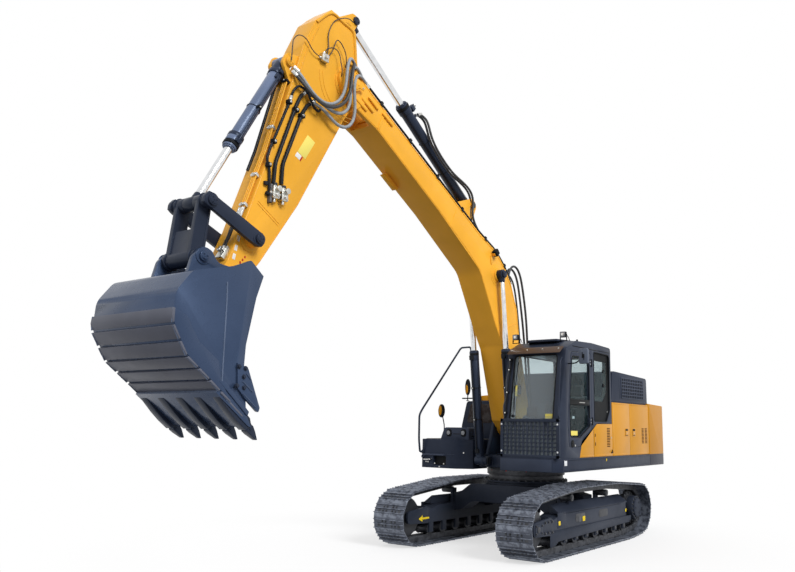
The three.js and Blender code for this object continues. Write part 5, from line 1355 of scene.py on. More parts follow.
controls = [
    plate([(0.10, 1.486, 0.02), (0.62, 1.486, 0.02), (0.62, 1.90, 0.06), (0.50, 1.98, 0.06), (0.10, 1.96, 0.04)],
          1.172, 1.288,
          dark_trim, edge=0.012, steps=3),
    rod((0.56, 1.23, 1.93), (0.598, 1.23, 2.15), 0.016, seal_black, 20, 0.004),
    rod((0.583, 1.23, 2.06), (0.600, 1.23, 2.16), 0.024, dark_trim, 20, 0.01),
    rod((0.548, 1.23, 1.90), (0.562, 1.23, 1.975), 0.045, seal_black, 24, 0.01, 0.4),
]
fit(join("left_console", controls), "house", HOUSE, stands_for=["console"])
inside = [
    plate([(0.05, 1.50, 0.02), (0.62, 1.50, 0.02), (0.62, 1.86, 0.06), (0.50, 1.95, 0.06), (0.05, 1.93, 0.04)],
          0.475, 0.600,
          dark_trim, edge=0.012, steps=3),
    rod((0.56, 0.54, 1.90), (0.598, 0.54, 2.12), 0.016, seal_black, 20, 0.004),
    rod((0.583, 0.54, 2.03), (0.600, 0.54, 2.13), 0.024, dark_trim, 20, 0.01),
    block((0.78, 0.470, 2.05), (0.80, 0.66, 2.21), dark_trim, 0.006),
    block((0.7785, 0.482, 2.063), (0.7805, 0.648, 2.197), lamp_glass, 0),
    rod((0.80, 0.50, 1.55), (0.79, 0.56, 2.06), 0.014, dark_trim),
    block((0.02, 0.465, 1.4846), (1.36, 1.365, 1.492), seal_black, 0.002),
    block((-0.36, 0.465, 1.4846), (-0.24, 1.365, 2.10), dark_trim, 0.02, 3),
]
for y in (0.86, 0.97):  # travel levers with their pedals
    inside += [tube(flowing([(0.98, y, 1.50), (0.94, y, 1.75), (0.86, y + (0.03 if y > 0.9 else -0.03), 2.02),
                             (0.84, y, 2.16)]), 0.010, dark_trim),
               rod((0.842, y, 2.14), (0.836, y, 2.24), 0.020, seal_black, 20, 0.008),
               block((1.00, y - 0.04, 1.52), (1.16, y + 0.04, 1.535), seal_black, 0.004)]
for k, y in enumerate((0.70, 0.80, 0.92)):  # service lines looped behind the rear pane
    inside.append(tube(flowing([(-0.37, y, 2.12), (-0.372, y + 0.02, 2.5), (-0.372, y + 0.09, 2.78 - 0.06 * k),
                                (-0.372, y + 0.16, 2.5),
                                (-0.37, y + 0.19, 2.12)]), 0.012, black_wrap))
inside += [block((1.05, 1.372, 2.02), (1.13, 1.380, 2.06), blank_yellow, 0.001),
           block((0.90, 1.376, 2.02), (0.97, 1.384, 2.06), blank_white, 0.001)]
fit(join("cab_inside", inside), "house", HOUSE)

# ---------------------------------------------------------------- boom
# A long welded box of steel plate, amber all over, with weld beads along its seams, raised ribs
# and a cross band at its nose, pin caps with keepers, and pipes clamped along its back.
def leaning(origin, toward):
    """The frame whose x axis runs from one place to another, with +Z up out of its back."""
    along = (toward - origin).normalized()
    return Matrix(((along.x, 0, -along.z, origin.x), (0, 1, 0, origin.y), (along.z, 0, along.x, origin.z),
                   (0, 0, 0, 1)))


FOOT, NOSE, TIP = joint_at["boom_lift"], joint_at["arm_reach"], joint_at["bucket_dump"]
BOOM, ARM = leaning(FOOT, NOSE), leaning(NOSE, TIP)
BOOM_LENGTH = (NOSE - FOOT).length
# the machine's amber paint made lighter for the boom: painted light for the brighter sheen it shows
boom_amber_painted_light = enamel("boom_enamel_painted_light", (0.880, 0.425, 0.036), 0.30, 0.35, 0, 0.05)


def bead(points, finish, radius=0.006, wobble=0.0012):
    """A weld bead: a low round seam with the ripple of its passes."""
    line, corners = [], [Vector(p) for p in points]
    for a, b in zip(corners, corners[1:]):
        steps = max(2, int((b - a).length / 0.03))
        line += [a.lerp(b, k / steps) for k in range(steps)]
    line.append(corners[-1])
    for i, p in enumerate(line):
        p.y += wobble * (1 if i % 2 else -1)
    return tube(line, radius, finish, 1)


def pin_cap(x, z, y, s, radius, finish, keeper=0.0, proud=0.03):
    """The end of a hinge pin: a flanged cap, its cover with bolts, and a flag that stops it turning."""
    n = lambda a, b: ((x, y + s * a, z), (x, y + s * b, z))
    parts = [rod(*n(-0.02, proud * 0.5), radius, finish, 48, 0.004),
             rod(*n(0, proud), radius * 0.74, finish, 48, 0.004),
             rod(*n(proud - 0.002, proud + 0.003), radius * 0.16, finish, 16, 0.001)]
    parts += bolts([(x + radius * 0.5 * cos(a), y + s * proud, z + radius * 0.5 * sin(a)) for a in (0.5, 2.6,
        4.7)], (0, s, 0), 0.016, finish)
    if keeper is not None:
        dx, dz = cos(keeper), sin(keeper)
        ends = [Vector((x + dx * radius * k, z + dz * radius * k)) for k in (0.6, 1.7)]
        side = Vector((-dz, dx)) * radius * 0.28
        flag = [(*(p + q), 0.01) for p, q in ((ends[0], side), (ends[0], -side), (ends[1], -side), (ends[1], side))]
        parts.append(plate(flag, *sorted((y + s * proud * 0.5, y + s * (proud * 0.5 + 0.010))), finish, edge=0.002))
        parts += bolts([(x + dx * radius * 1.42, y + s * (proud * 0.5 + 0.01), z + dz * radius * 1.42)], (0, s, 0),
                       0.020, zinc)
    return parts


fit(dress("boom", boom_amber_painted_light, 0.007, 3, 2.0), "boom", smooth=40,
    stands_for=["boom"]).name = "boom_weldment"

L = BOOM_LENGTH
BOOM_SIDE = 0.225
low_edge = [(0.293, -0.150), (1.30, 0.405), (1.80, 0.515), (2.50, 0.71), (2.728, 0.775), (3.10, 0.720),
            (L - 2.281, 0.502), (L - 0.701, 0.069),
            (L - 0.12, -0.20)]
top_edge = [(0.0, 0.205), (1.064, 0.835), (1.544, 1.190), (1.963, 1.355), (2.30, 1.395), (2.648, 1.365),
            (3.193, 1.150),
            (L - 1.009, 0.515), (L - 0.261, 0.278), (L + 0.12, 0.185)]
boom_detail = []
for s in (1, -1):
    y = s * (BOOM_SIDE + 0.001)
    for edge_line in (low_edge, top_edge):
        boom_detail.append(bead([(x, y, z) for x, z in edge_line], boom_amber_painted_light, 0.005))
    # long raised ribs along the nose, and the band across behind them
    for a, b, half in (((6.20, -0.075), (5.94, 0.020), 0.030), ((6.12, 0.050), (5.86, 0.130), 0.026),
                       ((6.06, 0.185), (5.84, 0.245), 0.020),
                       ((5.76, 0.300), (5.52, 0.380), 0.022)):
        a, b = Vector(a), Vector(b)
        n = Vector((-(b - a).y, (b - a).x)).normalized() * half
        rib = [(*(p + q), half * 0.98) for p, q in ((a, n), (a, -n), (b, -n), (b, n))]
        boom_detail.append(plate(rib, *sorted((y - s * 0.002, y + s * 0.026)), boom_amber_painted_light, edge=0.012, steps=3,
                                 cuts=6))
    boom_detail.append(plate([(5.735, 0.400), (5.775, 0.385), (5.655, 0.075), (5.615, 0.090)],
                             *sorted((y - s * 0.002, y + s * 0.005)),
                             boom_amber_painted_light, edge=0.003))
    boom_detail.append(plate([(6.05, -0.21, 0.06), (6.36, -0.225, 0.14), (6.55, -0.10, 0.14), (6.52, 0.13, 0.12),
                              (6.22, 0.20, 0.10),
                              (6.02, 0.10, 0.10)], *sorted((y - s * 0.002, y + s * 0.012)), boom_amber_painted_light, edge=0.004,
                              steps=3, cuts=8))
    boom_detail += pin_cap(L, 0, s * 0.2795, s, 0.098, boom_amber_painted_light, pi * 0.80, 0.022)
    boom_detail.append(bead([(3.72, y, 0.585), (3.80, y, 0.90)], boom_amber_painted_light, 0.005))
    boom_detail += [bead([(1.66, y, 0.50), (1.40, y, 1.05)], boom_amber_painted_light, 0.005)]
    # the thick ring round the lift cylinders' cross tube, with its washer seams
    x, z = 2.367, 1.125
    for r, t in ((0.185, 0.004), (0.150, 0.010), (0.122, 0.016)):
        boom_detail.append(rod((x, y - s * 0.004, z), (x, y + s * t, z), r, boom_amber_painted_light, 56, 0.003))
    boom_detail.append(rod((x, y, z), (x, s * 0.2615, z), 0.098, boom_amber_painted_light, 48, 0.005))
    # foot: thick ring and cap
    boom_detail.append(rod((0, y - s * 0.002, 0), (0, s * 0.2440, 0), 0.155, boom_amber_painted_light, 56, 0.004))
    # crowd cylinder bracket caps
    x, z = 3.540, 1.466
    boom_detail += [rod((x, s * 0.139, z), (x, s * 0.152, z), 0.075, boom_amber_painted_light, 40, 0.003),
                    rod((x, s * 0.150, z), (x, s * 0.166, z), 0.052, wheel_iron, 36, 0.003)]
boom_detail += [
    plate([(4.60, 0.315), (4.63, 0.225), (4.95, 0.140), (4.92, 0.230)], -0.19, -0.13, boom_amber_painted_light, edge=0.004),
    block((L - 0.62, -0.165, 0.20), (L - 0.58, 0.165, 0.40), boom_amber_painted_light, 0.006),
]
fit(join("boom_beads_and_caps", boom_detail), "boom", BOOM)

# work light and its bracket on the boom's flank
lamp_at = BOOM.inverted() @ (SLEW + Vector((1.49, 0.27, 4.70)))
x, z = lamp_at.x, lamp_at.z
light = [
    block((x - 0.055, 0.245, z - 0.050), (x + 0.045, 0.325, z + 0.050), dark_trim, 0.012, 3),
    rod((x - 0.062, 0.285, z), (x - 0.054, 0.285, z), 0.036, lamp_glass, 28, 0.002),
    plate([(x - 0.10, z - 0.19), (x + 0.02, z - 0.10), (x + 0.02, z - 0.02), (x - 0.01, z - 0.02),
           (x - 0.12, z - 0.16)], 0.226, 0.236, boom_amber_painted_light),
    block((x - 0.03, 0.226, z - 0.065), (x + 0.02, 0.30, z - 0.055), boom_amber_painted_light, 0.002),
]
fit(join("boom_light", light), "boom", BOOM)

# ---------------------------------------------------------------- pipes and hoses along the boom
# Steel pipes, black, run over the boom's back in clamped pairs; two hoses come down from the arm
# ram's gland onto the boom's back, and long ones hang from the foot down to the deck.
pipe_black = enamel("pipe_black", (0.012, 0.014, 0.018), 0.35, 0.3, 0, 0.1)


def back_line(height, xs):
    """Places along the boom's back, that far above its plate."""
    made = []
    for x in xs:
        for (ax, az), (bx, bz) in zip(top_edge, top_edge[1:]):
            if ax <= x <= bx:
                made.append((x, az + (bz - az) * (x - ax) / (bx - ax) + 0.020 + height))
    return made


runs = []
for k, y in enumerate((0.205, 0.155, 0.105, 0.055)):
    track_line = back_line(0.045, (6.14, 5.6, 5.0, 4.3, 3.6, 3.25, 2.95, 2.66, 2.30, 2.0))
    line = bent([(x, y - 0.012 * (x > 6.2), z) for x, z in track_line], 0.12, 5)
    runs.append(tube(line, 0.0155 if k < 2 else 0.013, pipe_black))
    runs += [rod(line[0], Vector(line[0]) - (Vector(line[1]) - Vector(line[0])).normalized() * 0.05, 0.026, zinc,
                 6, 0.002),
             rod(line[-1], Vector(line[-1]) + (Vector(line[-1]) - Vector(line[-2])).normalized() * 0.04, 0.024,
                 zinc, 6, 0.002)]
for x in (5.85, 5.15, 4.42, 3.70, 2.98, 2.32):  # clamps
    (bx, bz), = back_line(0.0, (x,))
    slope = atan2(back_line(0, (x + 0.05,))[0][1] - bz, 0.05)
    clamp = [block((-0.030, 0.022, -0.01), (0.030, 0.238, 0.030), pipe_black, 0.003),
             block((-0.024, 0.030, 0.028), (0.024, 0.230, 0.068), dark_trim, 0.006)]
    clamp += bolts([(0, yy, 0.066) for yy in (0.08, 0.13, 0.18)], (0, 0, 1), 0.022, zinc)
    clamp = join("clamp", clamp)
    runs += copies(clamp, [Matrix.Translation((bx, 0, bz)) @ Matrix.Rotation(-slope, 4, "Y")])
fit(join("boom_pipes", runs), "boom", BOOM)

to_boom = BOOM.inverted() @ HOUSE
crowd_base, crowd_eye = BOOM @ Vector((3.540, 0, 1.466)), ARM @ Vector((-0.928, 0, 0.394))
crowd_axis = (crowd_eye - crowd_base).normalized()
crowd_at = leaning(crowd_base, crowd_eye)
for k, y in enumerate((0.10, 0.15)):
    route = [(3.54, y, 6.50 - 0.03 * k), (3.40, y, 6.44), (3.20, y + 0.02, 6.20), (3.02, y + 0.03, 6.00),
             (2.80, y + 0.03, 5.86), (2.56, y + 0.03, 5.74),
             (2.34, y + 0.04, 5.69), (2.16, y + 0.04, 5.63), (2.00, y + 0.03, 5.52), (1.84, y + 0.03, 5.43),
             (1.66, y + 0.03, 5.40), (1.50, y + 0.03, 5.33),
             (1.41, y + 0.03, 5.20)]
    seat = []
    for p, above in zip((to_boom @ Vector(p) for p in route[-4:]), (0.16, 0.10, 0.06, 0.022)):
        (bx, bz), = back_line(above, (p.x,))
        seat.append(BOOM @ Vector((bx, p.y, bz)) - SLEW)
    gland = [crowd_at @ Vector(p) - SLEW for p in ((1.780, y - 0.05, 0.098), (1.73, y - 0.04, 0.165),
                                                   (1.60, y - 0.02, 0.210))]
    free_hose("crowd_hose_%d" % (k + 1), gland + [tuple(p) for p in route[2:-4]] + seat, 0.036, black_wrap, "boom",
              "arm_cylinder",
              (3.1, 0.1, 6.15))


# ---------------------------------------------------------------- rams
# Hydraulic cylinders: a painted barrel with a welded base eye, a bolted gland, pipes strapped
# along it, and a hard-chromed rod whose eye is held by a pin with bolted end caps.
ram_blue = enamel("ram_blue", (0.018, 0.025, 0.046), 0.30, 0.35, 0, 0.1, shine=0.2, tint=(0.6, 0.75, 1))
# the rams' dark blue made pale for the bucket ram: a painted sheen of the sky on its barrel
ram_slate_painted_sheen = enamel("ram_slate_painted_sheen", (0.115, 0.150, 0.240), 0.26, 0.45, 0, 0.08, shine=0.3, tint=(0.6, 0.75, 1))
chrome = metal("chromed_rod", (0.78, 0.79, 0.80), 0.16, 14.0)


def barrel(name, joint, axis, radius, shaft, length, eye, finish, stands_for, body, more=(), collar=0.013):
    """A ram's barrel in its own frame: eye at the origin, gland at the far end, centred across."""
    at = leaning(joint_at[joint], joint_at[joint] + Vector(axis))
    gland = length - 0.165
    ring = [2 * pi * k / 10 + 0.2 for k in range(10)]
    parts = [
        rod((0, -eye, 0), (0, eye, 0), radius * 1.05, finish, 48, 0.006),
        rod((radius * 0.25, 0, 0), (radius * 1.35, 0, 0), radius * 0.90, finish, 48, 0.004, 1.08),
        rod((radius * 1.30, 0, 0), (gland + 0.02, 0, 0), radius, finish, 64, 0.004),
        bead([(radius * 1.32, radius * cos(a), radius * sin(a)) for a in (2 * pi * k / 36 for k in range(37))],
             finish, 0.005, 0.0006),
        rod((gland, 0, 0), (gland + 0.075, 0, 0), radius + collar, finish, 64, min(0.005, collar * 0.8)),
        rod((gland + 0.085, 0, 0), (gland + 0.125, 0, 0), radius + collar + 0.0015, dark_trim, 64,
            min(0.005, collar * 0.8)),
        rod((gland + 0.07, 0, 0), (gland + 0.15, 0, 0), radius + 0.003, finish, 64, 0.004),
        rod((gland + 0.14, 0, 0), (gland + 0.165, 0, 0), shaft + 0.020, finish, 48, 0.004),
    ]
    parts += bolts([(gland + 0.149, (radius - 0.014) * cos(a), (radius - 0.014) * sin(a)) for a in ring],
                   (1, 0, 0), 0.020, finish)
    for s in (1, -1):  # collar and greased pin end in the eye
        parts += [rod((0, s * (eye - 0.004), 0), (0, s * (eye + 0.003), 0), radius * 0.60, wheel_iron, 36, 0.002)]
    return fit(join(name, parts + list(more)), body, at, stands_for=stands_for)


def strapped(radius, length, angle, start, finish=pipe_black, size=0.015, clamps=2):
    """A pipe along a barrel from its base port to its gland port, with the blocks and straps that hold it."""
    turn = Matrix.Rotation(angle, 4, "X")
    out = radius + size + 0.012
    line = bent([(start, 0, radius - 0.01), (start, 0, out), (length - 0.115, 0, out),
                 (length - 0.115, 0, radius)], 0.03, 4)
    parts = [tube(line, size, finish),
             block((start - 0.035, -0.034, radius - 0.018), (start + 0.035, 0.034, radius + 0.026), finish, 0.005),
             block((length - 0.155, -0.036, radius - 0.010), (length - 0.080, 0.036, radius + 0.032), finish,
                   0.005)]
    parts += bolts([(length - 0.155 + dx, y, radius + 0.032) for dx in (0.012, 0.062) for y in (-0.024, 0.024)],
                   (0, 0, 1), 0.013, finish)
    for k in range(clamps):
        x = start + (length - start) * (k + 1) / (clamps + 1.2)
        band = tube([(x, (radius + 0.003) * cos(a),
                      (radius + 0.003) * sin(a)) for a in (2 * pi * i / 40 for i in range(41))], 0.006, finish, 1)
        parts += [band, block((x - 0.020, -0.026, radius - 0.004), (x + 0.020, 0.026, out + size + 0.005),
                              dark_trim, 0.004)]
        parts += bolts([(x, 0, out + size + 0.005)], (0, 0, 1), 0.016, zinc)
    for p in parts:
        p.data.transform(turn)
    return parts


def piston(name, joint, axis, radius, shaft, start, reach, eye, finish, stands_for, body, tip=None):
    """A chromed rod with its eye, which is painted like the barrel or left bright."""
    at = leaning(joint_at[joint], joint_at[joint] + Vector(axis))
    parts = [
        rod((start, 0, 0), (reach - radius * 0.9, 0, 0), shaft, chrome, 64, 0.002),
        rod((reach - radius * 1.75, 0, 0), (reach - radius * 0.2, 0, 0), shaft * 1.12, finish, 48, 0.004, 1.15),
        rod((reach, -eye, 0), (reach, eye, 0), radius * 1.05, finish, 56, 0.006),
    ]
    for s in (1, -1):
        face = s * (eye + 0.001)
        parts += [rod((reach, face - s * 0.004, 0), (reach, face + s * (tip or 0.006), 0), radius * 0.74, finish,
                      48, 0.004),
                  rod((reach, face, 0), (reach, face + s * ((tip or 0.006) + 0.004), 0), radius * 0.14, finish, 16,
                      0.001)]
        parts += bolts([(reach + radius * 0.48 * cos(a), face + s * (tip or 0.006),
                         radius * 0.48 * sin(a)) for a in (0.6, 2.7, 4.8)], (0, s, 0), 0.015, finish)
    return fit(join(name, parts), body, at, stands_for=stands_for)


LIFT = ("boom_cylinder_{}_swing", (0.127625, 0, 0.991822))
lift_eye = BOOM @ Vector((2.367, 0, 1.125))
for s, side in ((1, "left"), (-1, "right")):
    joint, axis = LIFT[0].format(side), LIFT[1]
    base = joint_at[joint]
    reach = (Vector((lift_eye.x, base.y, lift_eye.z)) - base).length
    barrel(f"boom_ram_{side}", joint, axis, 0.076, 0.046, 1.822, 0.078, ram_blue, [f"boom_cylinder_{side}"],
           f"boom_cylinder_{side}",
           strapped(0.076, 1.822, pi, 0.16, size=0.012), 0.002)
    piston(f"boom_ram_rod_{side}", joint, axis, 0.076, 0.046, 1.50, reach, 0.050, ram_blue, [f"boom_rod_{side}"],
           f"boom_rod_{side}", 0.028)

crowd_lugs = []
for s in (1, -1):
    crowd_lugs += [block((1.86, s * 0.060 - 0.03, 0.070), (1.95, s * 0.060 + 0.03, 0.150), ram_blue, 0.008),
                   rod((1.905, s * 0.060, 0.12), (1.905, s * 0.060, 0.185), 0.022, zinc, 20, 0.003),
                   rod((1.905, s * 0.060, 0.178), (1.905, s * 0.060, 0.196), 0.030, zinc, 6, 0.003)]
barrel("crowd_ram", "arm_cylinder_swing", crowd_axis, 0.088, 0.054, 2.082, 0.100, ram_blue, ["arm_cylinder"],
       "arm_cylinder",
       crowd_lugs + strapped(0.088, 2.082, pi * 0.28, 0.17, size=0.015))
piston("crowd_ram_rod", "arm_cylinder_swing", crowd_axis, 0.088, 0.054, 1.35, (crowd_eye - crowd_base).length,
       0.0775, ram_blue, ["arm_rod"], "arm_rod")

# ---------------------------------------------------------------- arm
# A tapering welded box. Its head carries the ram's ears and a raised rim round the pivot; pipes
# run down its side to a pair of valves, and along its front plate to the bucket's own lines.
# the machine's amber paint made lighter for the arm than for the doors: painted light
arm_amber_painted_light = enamel("arm_enamel_painted_light", (0.790, 0.385, 0.034), 0.28, 0.4, 0, 0.05)
valve_zinc = metal("valve_zinc", (0.58, 0.58, 0.54), 0.34, 30.0)
fit(dress("arm", arm_amber_painted_light, 0.006, 3, 2.0), "arm", smooth=40,
    stands_for=["arm"]).name = "arm_weldment"

arm_front = [(-0.226, 0.881), (0.254, 0.825), (0.920, 0.649), (1.744, 0.420), (2.794, 0.205), (3.201, 0.150)]
arm_rear = [(-0.225, -0.040), (0.030, -0.230), (0.482, -0.200), (1.977, -0.256), (2.927, -0.206), (3.408, -0.132)]
arm_detail = []
for s in (1, -1):
    y = s * 0.161
    for edge_line in ([(x, z - 0.012) for x, z in arm_front], [(x, z + 0.012) for x, z in arm_rear]):
        arm_detail.append(bead([(x, y, z) for x, z in edge_line], arm_amber_painted_light, 0.005))
    rim = [(-0.22, 0.855), (-0.55, 0.765), (-0.64, 0.56), (-0.70, 0.36), (-0.56, 0.22), (-0.40, 0.10),
           (-0.26, -0.02)]
    arm_detail.append(tube(flowing([(x, y, z) for x, z in rim], 5), 0.022, arm_amber_painted_light))
    arm_detail.append(tube(flowing([(x, y, z) for x, z in ((-0.20, 0.80), (0.25, 0.745), (0.60, 0.655))], 5),
                           0.010, arm_amber_painted_light))
    for seam in (((2.365, 0.215), (2.365, -0.175)), ((2.395, 0.21), (2.395, -0.175))):
        arm_detail.append(bead([(x, y, z) for x, z in seam], arm_amber_painted_light, 0.0045))
    for r, lift in ((0.255, 0.010), (0.235, 0.014)):  # raised doubler round the pivot
        arm_detail.append(rod((0.0, y - s * 0.004, 0.0), (0.0, y + s * lift, 0.0), r, arm_amber_painted_light, 64, 0.005))
    for r, a0, a1 in ((0.46, -0.75, 1.05), (0.52, -0.75, 1.05)):
        arm_detail.append(bead([(r * cos(a0 + (a1 - a0) * k / 20), y,
                                 r * sin(a0 + (a1 - a0) * k / 20) + 0.02) for k in range(21)], arm_amber_painted_light, 0.005))
    arm_detail.append(rod((2.817, y - s * 0.004, 0.039), (2.817, s * 0.170, 0.039), 0.135, arm_amber_painted_light, 56, 0.005))
    arm_detail += pin_cap(0.586, 0.838, s * 0.1595, s, 0.060, arm_amber_painted_light, None, 0.012)
    arm_detail.append(rod((-0.928, s * 0.1215, 0.394), (-0.928, s * 0.150, 0.394), 0.056, ram_blue, 40, 0.004))
    arm_detail += bolts([(-0.928 + 0.032 * cos(a), s * 0.150, 0.394 + 0.032 * sin(a)) for a in (0.4, 2.5, 4.6)],
                        (0, s, 0), 0.014, ram_blue)
fit(join("arm_beads_and_caps", arm_detail), "arm", ARM)

arm_pipes = []
for radius, route in ((0.017, [(6.00, .187, 5.75), (6.05, .187, 5.60), (6.28, .187, 5.00), (6.32, .187, 4.86),
                               (6.27, .187, 4.76), (6.25, .187, 4.46)]),
                      (0.024, [(5.80, .195, 5.87), (5.86, .192, 5.80), (5.93, .190, 5.63), (6.19, .190, 4.85),
                               (6.20, .190, 4.60)]),
                      (0.024, [(5.66, .195, 5.78), (5.74, .192, 5.73), (5.82, .190, 5.59), (6.08, .190, 4.86),
                               (6.08, .190, 4.62)])):
    line = bent(route, 0.06, 5)
    arm_pipes += [tube(line, radius, pipe_black), rod(line[0], line[1], radius * 1.35, zinc, 6, 0.002)]
for x, z, half in ((6.035, 5.66, 0.030), (6.235, 5.10, 0.030), (5.925, 5.60, 0.040), (5.825, 5.56, 0.040),
                   (6.29, 4.80, 0.028)):
    arm_pipes += [block((x - half, 0.160, z - 0.028), (x + half, 0.222, z + 0.028), dark_trim, 0.010)]
    arm_pipes += bolts([(x, 0.222, z)], (0, 1, 0), 0.022, zinc)
for x, z in ((6.19, 4.50), (6.06, 4.50)):  # burst valves at the lower ends
    arm_pipes += [block((x - 0.048, 0.160, z - 0.085), (x + 0.048, 0.250, z + 0.070), valve_zinc, 0.012, 3),
                  rod((x - 0.01, 0.245, z + 0.030), (x - 0.01, 0.290, z + 0.030), 0.036, valve_zinc, 24, 0.006),
                  rod((x, 0.245, z - 0.045), (x, 0.275, z - 0.045), 0.024, zinc, 6, 0.003),
                  rod((x - 0.06, 0.205, z + 0.01), (x - 0.045, 0.205, z + 0.01), 0.022, zinc, 6, 0.002),
                  rod((x + 0.045, 0.205, z - 0.02), (x + 0.07, 0.205, z - 0.02), 0.020, zinc, 6, 0.002),
                  rod((x, 0.205, z - 0.085), (x, 0.205, z - 0.125), 0.018, zinc, 16, 0.004),
                  rod((x, 0.205, z + 0.065), (x, 0.205, z + 0.105), 0.032, pipe_black, 6, 0.003)]
    arm_pipes += bolts([(x + dx, 0.250, z + dz) for dx in (-0.032, 0.032) for dz in (-0.066, 0.058)], (0, 1, 0),
                       0.016, zinc)
arm_pipes += [block((6.225, 0.160, 4.36), (6.255, 0.215, 4.58), brown_plate, 0.004),
              rod((6.30, 0.19, 4.46), (6.24, 0.19, 4.46), 0.026, pipe_black, 6, 0.003),
              block((6.28, 0.165, 4.555), (6.33, 0.200, 4.600), pipe_black, 0.006)]
fit(join("arm_side_pipes", arm_pipes), "arm", HOUSE)

front = []  # along the front plate
for y, x0, x1, radius, finish in ((0.118, 0.62, 2.55, 0.011, arm_amber_painted_light), (0.088, 0.62, 2.55, 0.011, arm_amber_painted_light),
                                  (0.058, 0.62, 2.55, 0.011, arm_amber_painted_light),
                                  (-0.075, 0.66, 2.05, 0.019, pipe_black)):
    line = []
    for (ax, az), (bx, bz) in zip(arm_front, arm_front[1:]):
        for k in range(8):
            x = ax + (bx - ax) * k / 8
            if x0 <= x <= x1:
                line.append((x, y, az + (bz - az) * k / 8 + 0.030 + radius * 0.6))
    front.append(tube(line, radius, finish))
for x in (0.80, 1.45, 2.10, 2.50):
    z = next(az + (bz - az) * (x - ax) / (bx - ax) for (ax, az),
             (bx, bz) in zip(arm_front, arm_front[1:]) if ax <= x <= bx)
    front += [block((x - 0.018, 0.040, z - 0.004), (x + 0.018, 0.136, z + 0.062), zinc if x > 0.9 else dark_trim,
                    0.004)]
    front += bolts([(x, 0.088, z + 0.062)], (0, 0, 1), 0.020, zinc)
for y in (0.118, 0.088, 0.058):
    front += [rod((2.54, y, 0.300), (2.66, y, 0.276), 0.019, zinc, 6, 0.002),
              rod((0.58, y, 0.785), (0.66, y, 0.765), 0.018, zinc, 6, 0.002)]
front += [tube(flowing([(2.64, y, 0.280), (2.78, y * 0.9 + 0.01, 0.275), (2.92, y * 0.8, 0.235),
                        (3.03, y * 0.8, 0.222), (3.10, y * 0.8, 0.205)], 4), 0.012, black_wrap)
          for y in (0.110, 0.066)]
front += [block((3.04, 0.010, 0.150), (3.20, 0.125, 0.215), valve_zinc, 0.008),
          block((3.06, 0.02, 0.205), (3.12, 0.06, 0.245), zinc, 0.005),
          block((3.06, 0.075, 0.205), (3.12, 0.115, 0.245), zinc, 0.005)]
fit(join("arm_front_pipes", front), "arm", ARM)

head = []  # valve and thin steel lines on the head
THIN = [
    [(6.03, .185, 6.20), (6.04, .20, 6.38), (6.03, .20, 6.47), (5.97, .20, 6.55), (5.89, .20, 6.58),
     (5.81, .20, 6.56), (5.73, .20, 6.49), (5.66, .20, 6.45), (5.54, .19, 6.44)],
    [(5.50, .20, 6.49), (5.48, .21, 6.57), (5.40, .22, 6.63), (5.31, .22, 6.64), (5.26, .23, 6.59),
     (5.24, .24, 6.49), (5.22, .25, 6.37), (5.20, .21, 6.26), (5.20, .17, 6.20)],
    [(5.47, .20, 6.46), (5.39, .20, 6.56), (5.35, .21, 6.66), (5.32, .21, 6.75), (5.28, .21, 6.79),
     (5.21, .22, 6.75), (5.14, .22, 6.66), (5.10, .20, 6.56), (5.08, .17, 6.50)],
    [(5.45, .19, 6.50), (5.42, .185, 6.65), (5.43, .18, 6.78), (5.41, .18, 6.89), (5.35, .18, 7.02),
     (5.27, .18, 7.10), (5.16, .18, 7.17), (5.05, .175, 7.21), (4.97, .17, 7.20)],
]
for route in THIN:
    head.append(tube(flowing(route, 4), 0.0065, black_wrap))
head += [block((5.44, .160, 6.40), (5.55, .225, 6.51), valve_zinc, 0.008),
         rod((5.49, .22, 6.46), (5.49, .255, 6.46), 0.028, zinc, 20, 0.004),
         rod((5.55, .19, 6.44), (5.58, .19, 6.44), 0.016, zinc, 6, 0.002),
         rod((5.50, .19, 6.51), (5.50, .19, 6.54), 0.016, zinc, 6, 0.002)]
head.append(tube(flowing([(6.00, .190, 5.76), (5.98, .20, 5.83), (5.92, .21, 5.90), (5.84, .21, 5.91),
                          (5.77, .22, 5.87), (5.71, .22, 5.79), (5.66, .23, 5.72), (5.58, .22, 5.70),
                          (5.53, .20, 5.74)], 4),
                 0.016, pipe_black))
fit(join("arm_head_lines", head), "arm", HOUSE)

blank_white_mark = enamel("blank_white_mark", (0.75, 0.75, 0.73), 0.4, 0.2, 0, 0.03)
plates = [
    plate([(5.68, 5.37), (5.55, 5.31), (5.70, 5.05), (5.83, 5.11)], 0.1605, 0.1625, blank_yellow, edge=0.0005),
    plate([(5.835, 5.105), (5.760, 5.070), (5.795, 5.010), (5.870, 5.045)], 0.1605, 0.1625, blank_white_mark,
          edge=0.0005),
    plate([(5.756, 5.068), (5.740, 5.060), (5.775, 5.000), (5.791, 5.008)], 0.1605, 0.1625, mark_red, edge=0.0005),
]
# four small pale squares on the arm's side: painted highlight for bright patches of light there
for x, z in ((6.60, 3.96), (6.625, 3.86), (6.65, 3.75), (6.67, 3.65)):
    plates.append(plate([(x - 0.03, z + 0.03), (x - 0.02, z - 0.035), (x + 0.018, z - 0.026),
                         (x + 0.008, z + 0.038)], 0.1605, 0.162, blank_white_mark, edge=0.0004))
for x, z in ((6.575, 3.60), (6.545, 3.635), (6.515, 3.67)):
    plates.append(plate([(x - 0.012, z + 0.012), (x - 0.008, z - 0.014), (x + 0.012, z - 0.010),
                         (x + 0.008, z + 0.016)], 0.1605, 0.162, mark_red, edge=0.0004))
fit(join("arm_blank_plates", plates), "arm", HOUSE)
